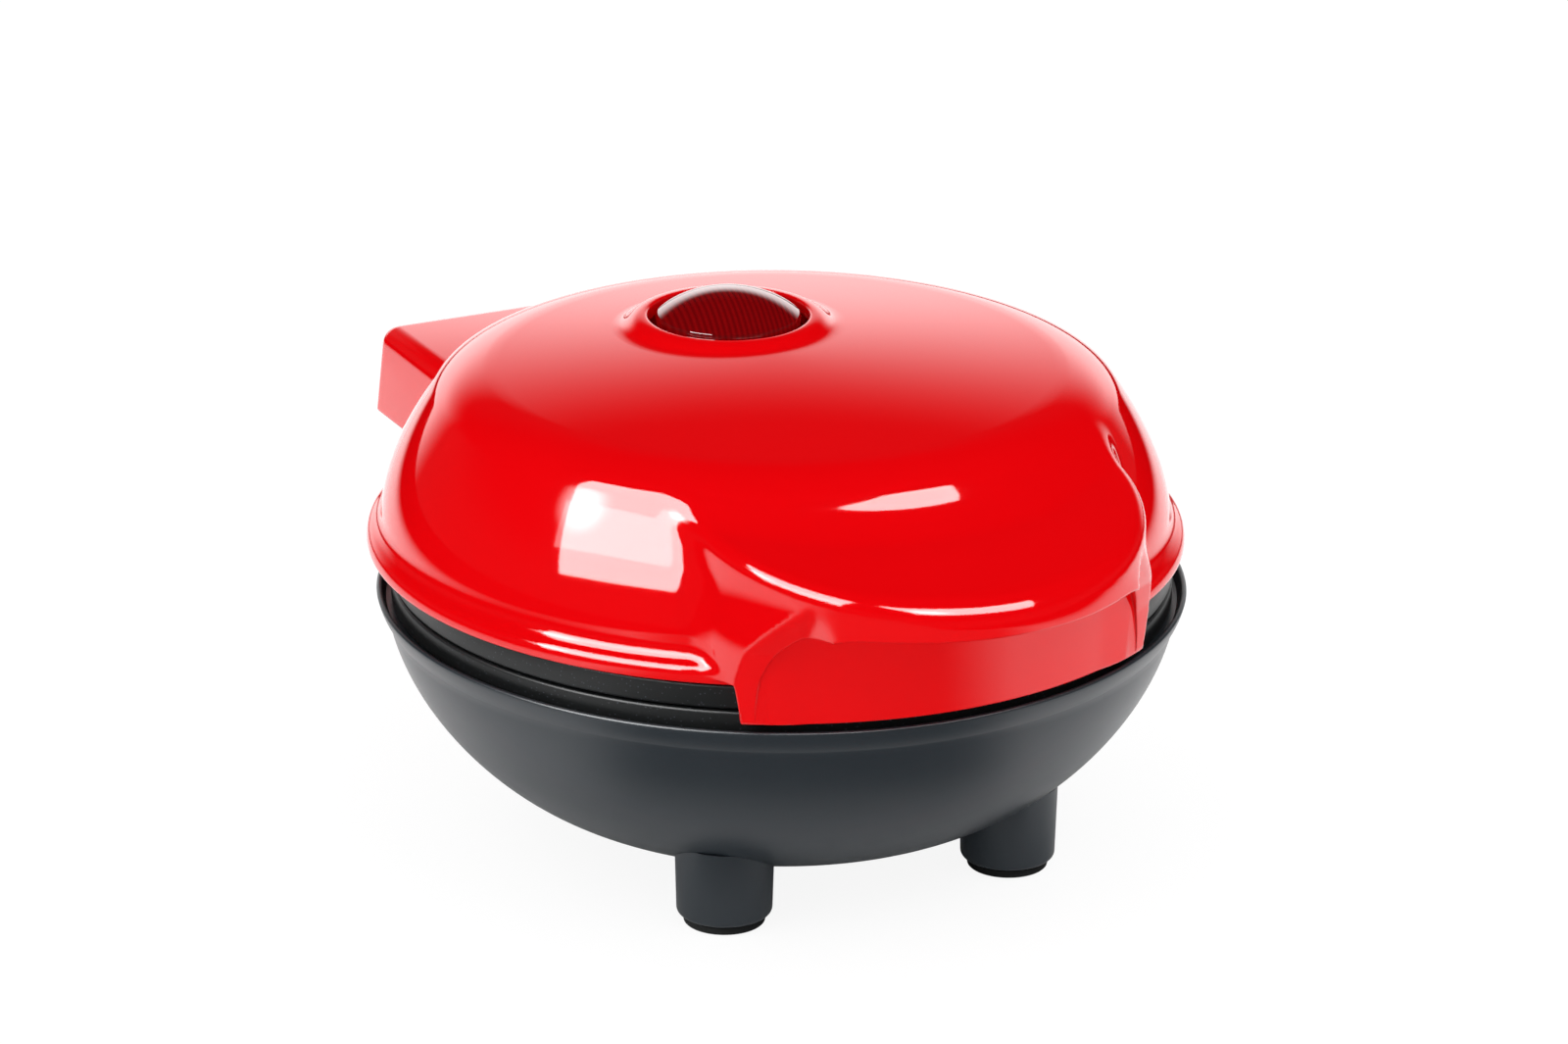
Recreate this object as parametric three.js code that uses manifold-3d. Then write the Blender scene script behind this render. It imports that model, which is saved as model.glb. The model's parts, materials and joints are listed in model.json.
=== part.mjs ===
import * as THREE from 'three';
import { mergeVertices } from 'three/addons/utils/BufferGeometryUtils.js';
import Module from 'manifold-3d';

// Mini waffle maker with a hinged lid. Millimetres, Z up, the front handle points to -Y.
// While it is built, the Z axis is the axis of the bowl and the plates, and the feet stand on z = 0.

const wasm = await Module();
wasm.setup();

// Roundness of turned and rounded shapes, in facets
const bodyFacets = 48;
const plateFacets = 36;
const legFacets = 16;
const smallFacets = 12;
const screwFacets = 8;
const wireFacets = 5;

// Clearances between pieces, and the overrun of every cutting shape
const fitGap = 0.3;
const screwClearance = 0.35;
const overrun = 1;
const weldDistance = 0.0005;

// Rim of the cooking plates. Bowl, lid and hinge follow it: an inset is measured inwards from it, a margin
// outwards, and a share is a part of its radius
const plateRadius = 62;

// Height of the seam between the plates. A rise is measured up from it, a drop down
const seamHeight = 44.5;

// Bowl of the base
const bowlBottom = 6.4;
const bowlFlatShare = 0.4516;
const bowlRimMargin = 0.6;
const bowlRimDrop = 6.5;
const bowlWall = 2.2;
const lipMargin = 2.3;
const lipDrop = 2.5;
const lipWall = 0.9;
const lipEdgeDrop = 0.4;
const ledgeDrop = 4.3;
const plateSideGap = 0.8;
const bowlLowPullShare = new THREE.Vector2( 0.43, 0 );
const bowlHighPullShare = new THREE.Vector2( 0.915, 0.515 );
const lipPullShare = new THREE.Vector2( 0.55, 0.35 );
const bowlSteps = 6;
const lipSteps = 2;

// Legs, foot pads and the screws inside the legs
const legAcrossShare = 0.4032;
const legAlongShare = 0.4968;
const legFootRadius = 7.5;
const legTopRadius = 7.8;
const legFootHeight = 1.5;
const legEdge = 0.9;
const legTopHeight = 14;
const legBoreRadius = 4.3;
const legBoreTop = 11.5;
const pillarRadius = 4.6;
const padRadius = 6.4;
const padEdge = 0.3;
const padPlugGap = 0.4;
const padPlugHeight = 3.3;
const plateScrewRadius = 1.6;
const plateScrewHeadRadius = 3.2;
const plateScrewHeadHeight = 2.2;
const plateScrewBite = 7;
const headCrownShare = 0.7;

// Cooking plates, the upper one being the lower one turned over about the seam
const seamGap = 0.4;
const plateRimWidth = 7.4;
const plateChamfer = 2.4;
const cookInset = 12;
const cookWallDraft = 1.5;
const cookDepth = 9;
const plateThickness = 3;
const studPitch = 14.4;
const studFoot = 9.4;
const studTip = 6.4;
const studHeight = 6.5;
const studMargin = 7;
const plateBossRadius = 4.2;
const lowerBossLength = 12.3;
const upperBossLength = 9.5;

// Heating elements and their shields
const elementRingShare = 0.4677;
const elementTube = 3.2;
const elementSunk = 1.3;
const elementGap = 0.5;
const elementFacets = 7;
const elementSteps = 30;
const elementBendSteps = 3;
const elementOpening = THREE.MathUtils.degToRad( 25 );
const elementCorner = 5;
const lowerElementTail = 9;
const upperElementTail = 6.2;
const shieldShare = 0.5484;
const shieldHole = 15;
const shieldSheet = 0.6;
const shieldTailGap = 2.4;
const shieldScrewShare = 0.3065;
const shieldBossRadius = 3;
const shieldScrewRadius = 1.25;
const shieldScrewHeadRadius = 2.6;
const shieldScrewHeadHeight = 2.1;
const shieldScrewBite = 5;

// Thermostat, thermal fuse and terminal block
const thermostatRadius = 8;
const thermostatBodyRadius = 7.6;
const thermostatCup = 5;
const thermostatHeight = 8.5;
const thermostatEarReach = 14;
const thermostatEarWidth = 7;
const thermostatEarSheet = 0.8;
const thermostatScrewReach = 11.2;
const thermostatScrewRadius = 1.2;
const thermostatScrewHeadRadius = 2.3;
const thermostatScrewHeadHeight = 1.8;
const thermostatScrewBite = 1.8;
const tabWidth = 6.3;
const tabSheet = 0.8;
const tabLength = 6;
const tabSpacing = 3.4;
const fuseShare = 0.3968;
const fuseRadius = 2;
const fuseLength = 10;
const fuseWireRadius = 0.5;
const fuseWireLength = 4;
const terminalShare = 0.3871;
const terminalWidth = 22;
const terminalDepth = 12;
const terminalHeight = 8;
const terminalFoot = 3.4;
const terminalFootRadius = 3;
const terminalScrewReach = 8;
const terminalScrewRadius = 1.4;
const terminalScrewHeadRadius = 2.4;
const terminalScrewHeadHeight = 1.6;

// Cord inlet at the back of the bowl
const inletX = - 15;
const inletDrop = 20.5;
const inletBossRadius = 6.6;
const inletBossInset = 3.2;
const inletBossLength = 13.3;
const inletHoleRadius = 5;
const glandFlangeRadius = 6.4;
const glandFlange = 2;
const glandLipRadius = 5.6;
const glandLip = 2.2;
const glandBore = 3.2;

// Hinge
const pinMargin = 11;
const pinRise = 5;
const pinRadius = 1.7;
const pinHeadRadius = 2.6;
const pinHead = 1.3;
const armInner = 19.5;
const armOuter = 25.4;
const armRadius = 5.2;
const armRootLowDrop = 10.5;
const armRootHighDrop = 2.5;
const armRootLowInset = 4;
const armRootHighInset = 2;
const armRootInset = 8;
const armArcStart = THREE.MathUtils.degToRad( - 60 );
const armArcEnd = THREE.MathUtils.degToRad( 140 );
const earGap = 0.4;
const earRadius = 4.6;

// Lid shell: a dome set back from the bowl axis, with a flange round its foot
const lidSetback = 2.2;
const lidWall = 2.2;
const flangeRise = 4.4;
const flangeInnerInset = 3.1;
const flangeFootMargin = 1.3;
const flangeMargin = 2.9;
const flangeEdge = 0.6;
const domeFootMargin = 0.2;
const domeFootRise = 11.1;
const shoulderInset = 7.9;
const shoulderRise = 28.7;
const crownInset = 16.5;
const crownRise = 32.7;
const apexRise = 34.6;
const flangePullShares = [ new THREE.Vector2( 0.25, 0.5 ), new THREE.Vector2( 0.62, 0.84 ) ];
const sidePullShares = [ new THREE.Vector2( 0.09, 0.34 ), new THREE.Vector2( 0.55, 0.716 ) ];
const shoulderPullShares = [ new THREE.Vector2( 0.17, 0.52 ), new THREE.Vector2( 0.5, 0.84 ) ];
const crownPullShares = [ new THREE.Vector2( 0.34, 0.58 ), new THREE.Vector2( 0.66, 0.96 ) ];
const flangeSteps = 3;
const sideSteps = 5;
const shoulderSteps = 3;
const crownSteps = 3;
const hollowStep = 2;

// Front handle, a tongue that grows out of the dome, with a finger recess under it
const tongueRadius = 36;
const tongueCentreInset = 19;
const tongueBackLength = 11;
const tongueDrop = 1.1;
const tongueLegHalf = 34;
const tongueRise = 27.3;
const tongueTopReach = 10;
const tongueSlope = 0.23;
const tongueCrown = 1.2;
const tongueNoseEdge = 4.7;
const tongueFlankEdge = 7;
const tongueSteps = 22;
const edgeSteps = 4;
const topRingShares = [ 0.72, 0.36 ];
const recessFootHalf = 32.6;
const recessPullHalf = 33;
const recessTopHalf = 21.5;
const recessRise = 16.2;
const recessMargin = 2.2;
const recessFillet = 6;
const recessFilletSteps = 3;
const skirtGap = 0.4;
const tonguePocketInset = 6;
const tonguePocketHalf = 28.8;
const tonguePocketEdge = 3;

// Hinge block at the back of the lid
const blockHalfWidth = 31.8;
const blockFrontInset = 22;
const blockBehindPin = 14.6;
const blockRise = 17.5;
const blockFootRise = 2.9;
const blockEdge = 2.8;
const blockCorner = 3.2;
const blockDraft = 1.1;
const blockCavityInset = 6;
const cornerSteps = 3;

// Indicator lens, its collar and its retaining ring
const lensY = 19.5;
const collarFootRadius = 16.2;
const collarFootRise = 33.6;
const collarTopRadius = 13.6;
const collarTopRise = 35.8;
const lensHoleRadius = 12.93;
const lensRadius = 11.6;
const lensSphere = 19.1;
const lensRise = 39.7;
const lensWall = 2;
const lensSteps = 4;
const lensSeatRise = 31.1;
const lensSeatRadius = 18;
const lensFlangeRadius = 15.5;
const lensFlange = 1.4;
const lensRingInner = 10;
const lensRingOuter = 21.6;
const lensRingSheet = 1.2;
const lensScrewCircle = 19.2;
const lensBossRadius = 2.6;
const lensScrewRadius = 1.1;
const lensScrewHeadRadius = 2.1;
const lensScrewHeadHeight = 1.6;
const lensScrewBite = 1.9;

// Frame that carries the upper plate inside the lid, and its screws
const frameInset = 12;
const frameHole = 10;
const frameSheet = 1.4;
const frameHookInner = 8;
const frameHookOuter = 16;
const frameHookInset = 5;
const hookLedgeMargin = 4;
const hookLedgeLength = 12.5;
const frameArmInner = 7;
const frameArmOuter = 16;
const frameArmDropInset = 8.1;
const frameArmBevel = 3.4;
const frameArmEndMargin = 5;
const frameArmRise = 10.9;
const lidScrewX = 11.5;
const lidScrewBehindPin = 5.5;
const lidBossRadius = 3.4;
const lidScrewRadius = 1.3;
const lidScrewHeadRadius = 2.6;
const lidScrewHeadHeight = 2;
const lidScrewSkin = 1.1;
const lampHolderRadius = 5.5;
const lampHolderFlange = 8;
const lampHolderSheet = 1.3;
const lampHolderHeight = 4;
const lampRadius = 3.1;
const lampHeight = 11;
const lampTip = 2.4;

// Wires
const leadRadius = 1.1;
const leadSteps = 8;
const wireReach = 5;
const wireSag = 3;
const loomRadius = 1.8;
const loomHoleRadius = 4.3;
const loomHoleDrop = 10.9;
const loomRiseInset = 8;
const loomRiseDrop = 13.9;
const loomOutAhead = 6;
const loomOutDrop = 5.9;
const loomBackAhead = 3.6;
const loomBackLowRise = 0.5;
const loomBackHighRise = 6.5;
const loomEntryAhead = 14.5;
const loomEntryRise = 12.9;
const loomSteps = 20;
const loomFacets = 7;

// Places that follow from the rim of the plates
const bowlFlatRadius = plateRadius * bowlFlatShare;
const bowlRimRadius = plateRadius + bowlRimMargin;
const lipRadius = plateRadius + lipMargin;
const plateBodyRadius = plateRadius - plateRimWidth;
const cookRadius = plateRadius - cookInset;
const studReach = cookRadius - studMargin;
const studRows = 2 * Math.floor( studReach / studPitch + 1 / 2 );
const legSpanX = plateRadius * legAcrossShare;
const legSpanY = plateRadius * legAlongShare;
const elementRing = plateRadius * elementRingShare;
const shieldRadius = plateRadius * shieldShare;
const shieldScrewCircle = plateRadius * shieldScrewShare;
const fuseReach = plateRadius * fuseShare;
const terminalY = plateRadius * terminalShare;
const inletBossEnd = plateRadius - inletBossInset;
const inletBossStart = inletBossEnd - inletBossLength;
const pinY = plateRadius + pinMargin;
const armRootLowReach = plateRadius - armRootLowInset;
const armRootHighReach = plateRadius - armRootHighInset;
const armRootInside = plateRadius - armRootInset;
const flangeInnerRadius = plateRadius - flangeInnerInset;
const flangeFootRadius = plateRadius + flangeFootMargin;
const flangeRadius = plateRadius + flangeMargin;
const domeFootRadius = plateRadius + domeFootMargin;
const shoulderRadius = plateRadius - shoulderInset;
const crownRadius = plateRadius - crownInset;
const tongueCentreY = tongueCentreInset - plateRadius;
const tongueBackY = tongueCentreY + tongueBackLength;
const tongueTopY = tongueCentreY - tongueTopReach;
const recessRadius = plateRadius + recessMargin;
const skirtInnerRadius = plateRadius + skirtGap;
const blockFrontY = plateRadius - blockFrontInset;
const blockBackY = pinY + blockBehindPin;
const blockCavityFront = plateRadius - blockCavityInset;
const frameRadius = plateRadius - frameInset;
const frameHookReach = plateRadius - frameHookInset;
const hookLedgeFront = plateRadius + hookLedgeMargin;
const hookLedgeBack = hookLedgeFront - hookLedgeLength;
const frameArmDropY = plateRadius - frameArmDropInset;
const lidScrewY = pinY + lidScrewBehindPin;
const frameArmEnd = lidScrewY + frameArmEndMargin;
const loomRiseY = plateRadius - loomRiseInset;
const loomOutY = pinY - loomOutAhead;
const loomBackY = pinY - loomBackAhead;
const loomEntryY = pinY - loomEntryAhead;

// Heights that follow from the seam
const inletHeight = seamHeight - inletDrop;
const bowlRimHeight = seamHeight - bowlRimDrop;
const lipHeight = seamHeight - lipDrop;
const ledgeHeight = seamHeight - ledgeDrop;
const pinZ = seamHeight + pinRise;
const armRootLow = seamHeight - armRootLowDrop;
const armRootHigh = seamHeight - armRootHighDrop;
const flangeBottom = seamHeight + flangeRise;
const domeFootHeight = seamHeight + domeFootRise;
const shoulderHeight = seamHeight + shoulderRise;
const crownHeight = seamHeight + crownRise;
const apexHeight = seamHeight + apexRise;
const tongueBottom = seamHeight - tongueDrop;
const tongueTop = seamHeight + tongueRise;
const recessTop = seamHeight + recessRise;
const blockTop = seamHeight + blockRise;
const blockBottom = seamHeight + blockFootRise;
const collarFootHeight = seamHeight + collarFootRise;
const collarTopHeight = seamHeight + collarTopRise;
const lensTop = seamHeight + lensRise;
const lensSeatHeight = seamHeight + lensSeatRise;
const frameArmLevel = seamHeight + frameArmRise;
const loomHoleHeight = seamHeight - loomHoleDrop;
const loomRiseHeight = seamHeight - loomRiseDrop;
const loomOutHeight = seamHeight - loomOutDrop;
const loomBackLow = seamHeight + loomBackLowRise;
const loomBackHigh = seamHeight + loomBackHighRise;
const loomEntryHeight = seamHeight + loomEntryRise;

// Other values that follow from the ones above
const lowerRimTop = seamHeight - seamGap / 2;
const rimBottom = ledgeHeight + fitGap;
const cookFloor = lowerRimTop - cookDepth;
const plateUnderside = cookFloor - plateThickness;
const bowlFloor = bowlBottom + bowlWall;
const lowerBossEnd = plateUnderside - lowerBossLength;
const pillarTop = lowerBossEnd - fitGap;
const upperBossEnd = 2 * seamHeight - plateUnderside + upperBossLength;
const elementCentre = plateUnderside - elementTube + elementSunk;
const shieldTop = elementCentre - elementTube - fitGap;
const shieldBottom = shieldTop - shieldSheet;
const frameBottom = upperBossEnd + fitGap;
const frameTop = frameBottom + frameSheet;
const frontReach = tongueRadius - tongueCentreY;
const backReach = blockBackY + blockDraft;
const centreY = ( frontReach - backReach ) / 2;
const legPlaces = [ [ 1, - 1 ], [ - 1, - 1 ], [ - 1, 1 ], [ 1, 1 ] ];
const lensUnderSeat = lensSeatHeight - fitGap;
const lensRingTop = lensUnderSeat - lensFlange - fitGap;

// A closed solid for the boolean library, with its faces turned outwards
function solidOf( geometry ) {

	const bare = geometry.clone();
	bare.deleteAttribute( 'normal' );
	bare.deleteAttribute( 'uv' );
	const merged = mergeVertices( bare, weldDistance );
	const places = merged.attributes.position.array;
	const corners = [];
	let volume = 0;
	for ( let i = 0; i < merged.index.count; i += 3 ) {

		const [ a, b, c ] = [ 0, 1, 2 ].map( ( k ) => merged.index.getX( i + k ) );
		if ( a === b || b === c || c === a ) continue;
		corners.push( a, b, c );
		const [ p, q, r ] = [ a, b, c ].map( ( k ) => new THREE.Vector3().fromArray( places, 3 * k ) );
		volume += p.dot( q.cross( r ) );

	}

	if ( volume < 0 ) corners.reverse();
	const mesh = new wasm.Mesh( {
		numProp: 3,
		vertProperties: new Float32Array( places ),
		triVerts: new Uint32Array( corners ),
	} );
	return new wasm.Manifold( mesh );

}

function asSolid( shape ) {

	return shape.isBufferGeometry ? solidOf( shape ) : shape;

}

function join( ...shapes ) {

	return shapes.map( asSolid ).reduce( ( all, next ) => all.add( next ) );

}

function cut( shape, ...tools ) {

	return tools.map( asSolid ).reduce( ( left, tool ) => left.subtract( tool ), asSolid( shape ) );

}

function common( shape, other ) {

	return asSolid( shape ).intersect( asSolid( other ) );

}

// The triangles of a finished solid as a three.js geometry
function geometryOf( solid ) {

	const mesh = asSolid( solid ).getMesh();
	const geometry = new THREE.BufferGeometry();
	geometry.setAttribute( 'position', new THREE.BufferAttribute( new Float32Array( mesh.vertProperties ), 3 ) );
	geometry.setIndex( new THREE.BufferAttribute( new Uint32Array( mesh.triVerts ), 1 ) );
	geometry.computeVertexNormals();
	return geometry;

}

// A shape turned about a vertical axis from [radius, height] pairs
function turned( outline, facets = smallFacets, x = 0, y = 0 ) {

	const points = outline.map( ( p ) => ( p.isVector2 ? p : new THREE.Vector2( ...p ) ) );
	const closed = points[ 0 ].x > 0 ? [ ...points, points[ 0 ] ] : points;
	const geometry = new THREE.LatheGeometry( closed, facets );
	return geometry.rotateX( Math.PI / 2 ).translate( x, y, 0 );

}

function disc( radius, low, high, x = 0, y = 0, facets = smallFacets ) {

	return turned( [ [ 0, low ], [ radius, low ], [ radius, high ], [ 0, high ] ], facets, x, y );

}

function ring( inner, outer, low, high, facets = smallFacets, x = 0, y = 0 ) {

	return turned( [ [ inner, low ], [ outer, low ], [ outer, high ], [ inner, high ] ], facets, x, y );

}

function box( x0, x1, y0, y1, z0, z1 ) {

	const geometry = new THREE.BoxGeometry( x1 - x0, y1 - y0, z1 - z0 );
	return geometry.translate( ( x0 + x1 ) / 2, ( y0 + y1 ) / 2, ( z0 + z1 ) / 2 );

}

// A rod between two places on a line along X or Y
function rodAlongX( radius, x0, x1, y, z, facets = smallFacets ) {

	return disc( radius, x0, x1, 0, 0, facets ).rotateY( Math.PI / 2 ).translate( 0, y, z );

}

function rodAlongY( radius, y0, y1, x, z, facets = smallFacets ) {

	return disc( radius, - y1, - y0, 0, 0, facets ).rotateX( Math.PI / 2 ).translate( x, 0, z );

}

// A side view in [y, z], pushed out along X from x0 to x1
function sidePlate( shape, x0, x1 ) {

	const geometry = new THREE.ExtrudeGeometry( shape, { depth: x1 - x0, bevelEnabled: false, curveSegments: edgeSteps } );
	const turn = new THREE.Matrix4().makeBasis(
		new THREE.Vector3( 0, 1, 0 ),
		new THREE.Vector3( 0, 0, 1 ),
		new THREE.Vector3( 1, 0, 0 ),
	);
	return geometry.applyMatrix4( turn ).translate( x0, 0, 0 );

}

function outlineShape( points ) {

	return new THREE.Shape( points.map( ( p ) => new THREE.Vector2( ...p ) ) );

}

// A round tube through the given places, closed at both ends
function tube( places, radius, steps = leadSteps, facets = wireFacets ) {

	const path = new THREE.CatmullRomCurve3( places.map( ( p ) => new THREE.Vector3( ...p ) ), false, 'centripetal' );
	const section = new THREE.Shape();
	for ( let i = 0; i < facets; i ++ ) {

		const angle = 2 * Math.PI * i / facets;
		const point = [ radius * Math.cos( angle ), radius * Math.sin( angle ) ];
		if ( i === 0 ) section.moveTo( ...point );
		else section.lineTo( ...point );

	}

	return new THREE.ExtrudeGeometry( section, { steps, extrudePath: path, bevelEnabled: false } );

}

// A curve between two outline places, its two handles given as shares of the step between them
function bend( from, to, firstShare, secondShare, steps ) {

	const step = to.clone().sub( from );
	const first = from.clone().add( step.clone().multiply( firstShare ) );
	const second = from.clone().add( step.clone().multiply( secondShare ) );
	return new THREE.CubicBezierCurve( from, first, second, to ).getPoints( steps );

}

// Every outline place moved square to the outline by one distance, to its left going along
function offsetOutline( points, distance ) {

	return points.map( ( point, i ) => {

		const before = points[ Math.max( i - 1, 0 ) ];
		const after = points[ Math.min( i + 1, points.length - 1 ) ];
		const along = after.clone().sub( before ).normalize();
		return new THREE.Vector2( point.x - along.y * distance, point.y + along.x * distance );

	} );

}

// A closed solid through rings of equal count, each ring a list of places
function loft( rings ) {

	const count = rings[ 0 ].length;
	const places = rings.flat().flatMap( ( p ) => [ p.x, p.y, p.z ] );
	const corners = [];
	for ( let k = 0; k < rings.length - 1; k ++ ) {

		for ( let i = 0; i < count; i ++ ) {

			const j = ( i + 1 ) % count;
			const [ a, b, c, d ] = [ k * count + i, k * count + j, ( k + 1 ) * count + j, ( k + 1 ) * count + i ];
			corners.push( a, b, c, a, c, d );

		}

	}

	[ 0, rings.length - 1 ].forEach( ( k ) => {

		const middle = new THREE.Vector3();
		rings[ k ].forEach( ( p ) => middle.addScaledVector( p, 1 / count ) );
		const hub = places.length / 3;
		places.push( middle.x, middle.y, middle.z );
		for ( let i = 0; i < count; i ++ ) {

			const [ a, b ] = [ k * count + i, k * count + ( i + 1 ) % count ];
			corners.push( ...( k === 0 ? [ hub, b, a ] : [ hub, a, b ] ) );

		}

	} );
	const geometry = new THREE.BufferGeometry();
	geometry.setAttribute( 'position', new THREE.Float32BufferAttribute( places, 3 ) );
	geometry.setIndex( corners );
	return geometry;

}

// A block with a free outline and a curved top, its top edge rounded. outline(inset) gives the plan places,
// top(x, y) the height of the top, and edge(x, y) the radius of the rounding
function cappedBlock( outline, low, draft, top, edge ) {

	const rings = [ outline( - draft ).map( ( p ) => new THREE.Vector3( p.x, p.y, low ) ) ];
	const rim = outline( 0 );
	for ( let k = 0; k <= edgeSteps; k ++ ) {

		const angle = Math.PI / 2 * k / edgeSteps;
		rings.push( rim.map( ( start, i ) => {

			const radius = edge( start.x, start.y );
			const place = outline( radius * ( 1 - Math.cos( angle ) ) )[ i ];
			return new THREE.Vector3( place.x, place.y, top( place.x, place.y ) - radius * ( 1 - Math.sin( angle ) ) );

		} ) );

	}

	const last = rings[ rings.length - 1 ];
	const middle = new THREE.Vector3();
	last.forEach( ( p ) => middle.addScaledVector( p, 1 / last.length ) );
	topRingShares.forEach( ( share ) => {

		rings.push( last.map( ( p ) => {

			const x = THREE.MathUtils.lerp( middle.x, p.x, share );
			const y = THREE.MathUtils.lerp( middle.y, p.y, share );
			return new THREE.Vector3( x, y, top( x, y ) );

		} ) );

	} );
	return loft( rings );

}

// A pan head screw that points up from its head, or down where it is turned over
function screw( x, y, headEnd, headRadius, headHeight, radius, length, pointsUp ) {

	const way = pointsUp ? 1 : - 1;
	const outline = [
		[ 0, headEnd ],
		[ headRadius * headCrownShare, headEnd ],
		[ headRadius, headEnd + way * headHeight / 2 ],
		[ headRadius, headEnd + way * headHeight ],
		[ radius, headEnd + way * headHeight ],
		[ radius, headEnd + way * ( headHeight + length - radius ) ],
		[ 0, headEnd + way * ( headHeight + length ) ],
	];
	return turned( outline, screwFacets, x, y );

}

// Turns a shape of the lower half over about the seam between the plates
function turnedOver( geometry ) {

	return geometry.clone().rotateY( Math.PI ).translate( 0, 0, 2 * seamHeight );

}

function circlePlaces( count, radius, start ) {

	return Array.from( { length: count }, ( _, i ) => {

		const angle = start + 2 * Math.PI * i / count;
		return [ radius * Math.cos( angle ), radius * Math.sin( angle ) ];

	} );

}

// Base bowl

function bowlSide( inset ) {

	const from = new THREE.Vector2( bowlFlatRadius, bowlBottom + inset );
	const to = new THREE.Vector2( bowlRimRadius - inset, bowlRimHeight );
	return bend( from, to, bowlLowPullShare, bowlHighPullShare, bowlSteps );

}

function bowlSolid() {

	const side = bowlSide( 0 );
	const rim = side[ side.length - 1 ];
	const edge = new THREE.Vector2( lipRadius, lipHeight - lipEdgeDrop );
	const pull = rim.clone().add( edge.clone().sub( rim ).multiply( lipPullShare ) );
	const flare = new THREE.QuadraticBezierCurve( rim, pull, edge ).getPoints( lipSteps ).slice( 1 );
	return turned( [ [ 0, bowlBottom ], ...side, ...flare, [ lipRadius, lipHeight ], [ 0, lipHeight ] ], bodyFacets );

}

function bowlHollow() {

	const side = bowlSide( bowlWall );
	const seat = plateRadius + plateSideGap;
	const outline = [
		[ 0, bowlFloor ],
		...side,
		[ bowlRimRadius - bowlWall, ledgeHeight ],
		[ seat, ledgeHeight ],
		[ lipRadius - lipWall, lipHeight ],
		[ lipRadius - lipWall, lipHeight + bowlWall ],
		[ 0, lipHeight + bowlWall ],
	];
	return turned( outline, bodyFacets );

}

function legSolid( sideX, sideY ) {

	const outline = [
		[ 0, legFootHeight ],
		[ legFootRadius - legEdge, legFootHeight ],
		[ legFootRadius, legFootHeight + legEdge ],
		[ legTopRadius, legTopHeight ],
		[ 0, legTopHeight ],
	];
	return turned( outline, legFacets, sideX * legSpanX, sideY * legSpanY );

}

function legBore( sideX, sideY ) {

	const outline = [
		[ 0, legFootHeight - overrun ],
		[ legBoreRadius, legFootHeight - overrun ],
		[ legBoreRadius, legBoreTop ],
		[ plateScrewRadius + screwClearance, legBoreTop ],
		[ plateScrewRadius + screwClearance, pillarTop + overrun ],
		[ 0, pillarTop + overrun ],
	];
	return turned( outline, smallFacets, sideX * legSpanX, sideY * legSpanY );

}

function hingeArm( side ) {

	const shape = new THREE.Shape();
	shape.moveTo( armRootInside, armRootLow );
	shape.lineTo( armRootLowReach, armRootLow );
	shape.absarc( pinY, pinZ, armRadius, armArcStart, armArcEnd, false );
	shape.lineTo( armRootHighReach, armRootHigh );
	shape.lineTo( armRootInside, armRootHigh );
	shape.closePath();
	return side > 0 ? sidePlate( shape, armInner, armOuter ) : sidePlate( shape, - armOuter, - armInner );

}

function baseBowl() {

	const legs = legPlaces.map( ( place ) => legSolid( ...place ) );
	const arms = [ 1, - 1 ].map( hingeArm );
	const inletBoss = rodAlongY( inletBossRadius, inletBossStart, inletBossEnd, inletX, inletHeight );
	const outer = join( bowlSolid(), ...arms, inletBoss );
	const hollow = cut( bowlHollow(), inletBoss );
	const shell = join( cut( outer, hollow ), ...legs );
	const pillars = legPlaces.map( ( [ sx, sy ] ) => disc( pillarRadius, bowlFloor, pillarTop, sx * legSpanX, sy * legSpanY ) );
	const terminalFeet = [ 1, - 1 ].map( ( side ) => disc(
		terminalFootRadius, bowlFloor - overrun, bowlFloor + terminalFoot, side * terminalScrewReach, terminalY,
	) );
	const terminalHoles = [ 1, - 1 ].map( ( side ) => disc(
		terminalScrewRadius + screwClearance, bowlFloor, bowlFloor + terminalFoot + overrun,
		side * terminalScrewReach, terminalY,
	) );
	const pinHoles = [ 1, - 1 ].map( ( side ) => rodAlongX(
		pinRadius + fitGap, side * armInner - overrun * side, side * armOuter + overrun * side, pinY, pinZ,
	) );
	const inletHole = rodAlongY( inletHoleRadius, inletBossStart - overrun, inletBossEnd + overrun, inletX, inletHeight );
	const loomHole = rodAlongY( loomHoleRadius, armRootInside, bowlRimRadius + overrun, 0, loomHoleHeight );
	return cut(
		join( shell, ...pillars, ...terminalFeet ),
		...legPlaces.map( ( place ) => legBore( ...place ) ),
		...terminalHoles, ...pinHoles, inletHole, loomHole,
	);

}

function footPad( [ sideX, sideY ] ) {

	const top = legFootHeight - fitGap;
	const outline = [
		[ 0, 0 ],
		[ padRadius - padEdge, 0 ],
		[ padRadius, padEdge ],
		[ padRadius, top ],
		[ legBoreRadius - padPlugGap, top ],
		[ legBoreRadius - padPlugGap, top + padPlugHeight ],
		[ 0, top + padPlugHeight ],
	];
	return turned( outline, legFacets, sideX * legSpanX, sideY * legSpanY );

}

function baseScrew( [ sideX, sideY ] ) {

	const headEnd = legBoreTop - fitGap - plateScrewHeadHeight;
	const length = lowerBossEnd - legBoreTop + fitGap + plateScrewBite;
	return screw(
		sideX * legSpanX, sideY * legSpanY, headEnd,
		plateScrewHeadRadius, plateScrewHeadHeight, plateScrewRadius, length, true,
	);

}

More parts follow.
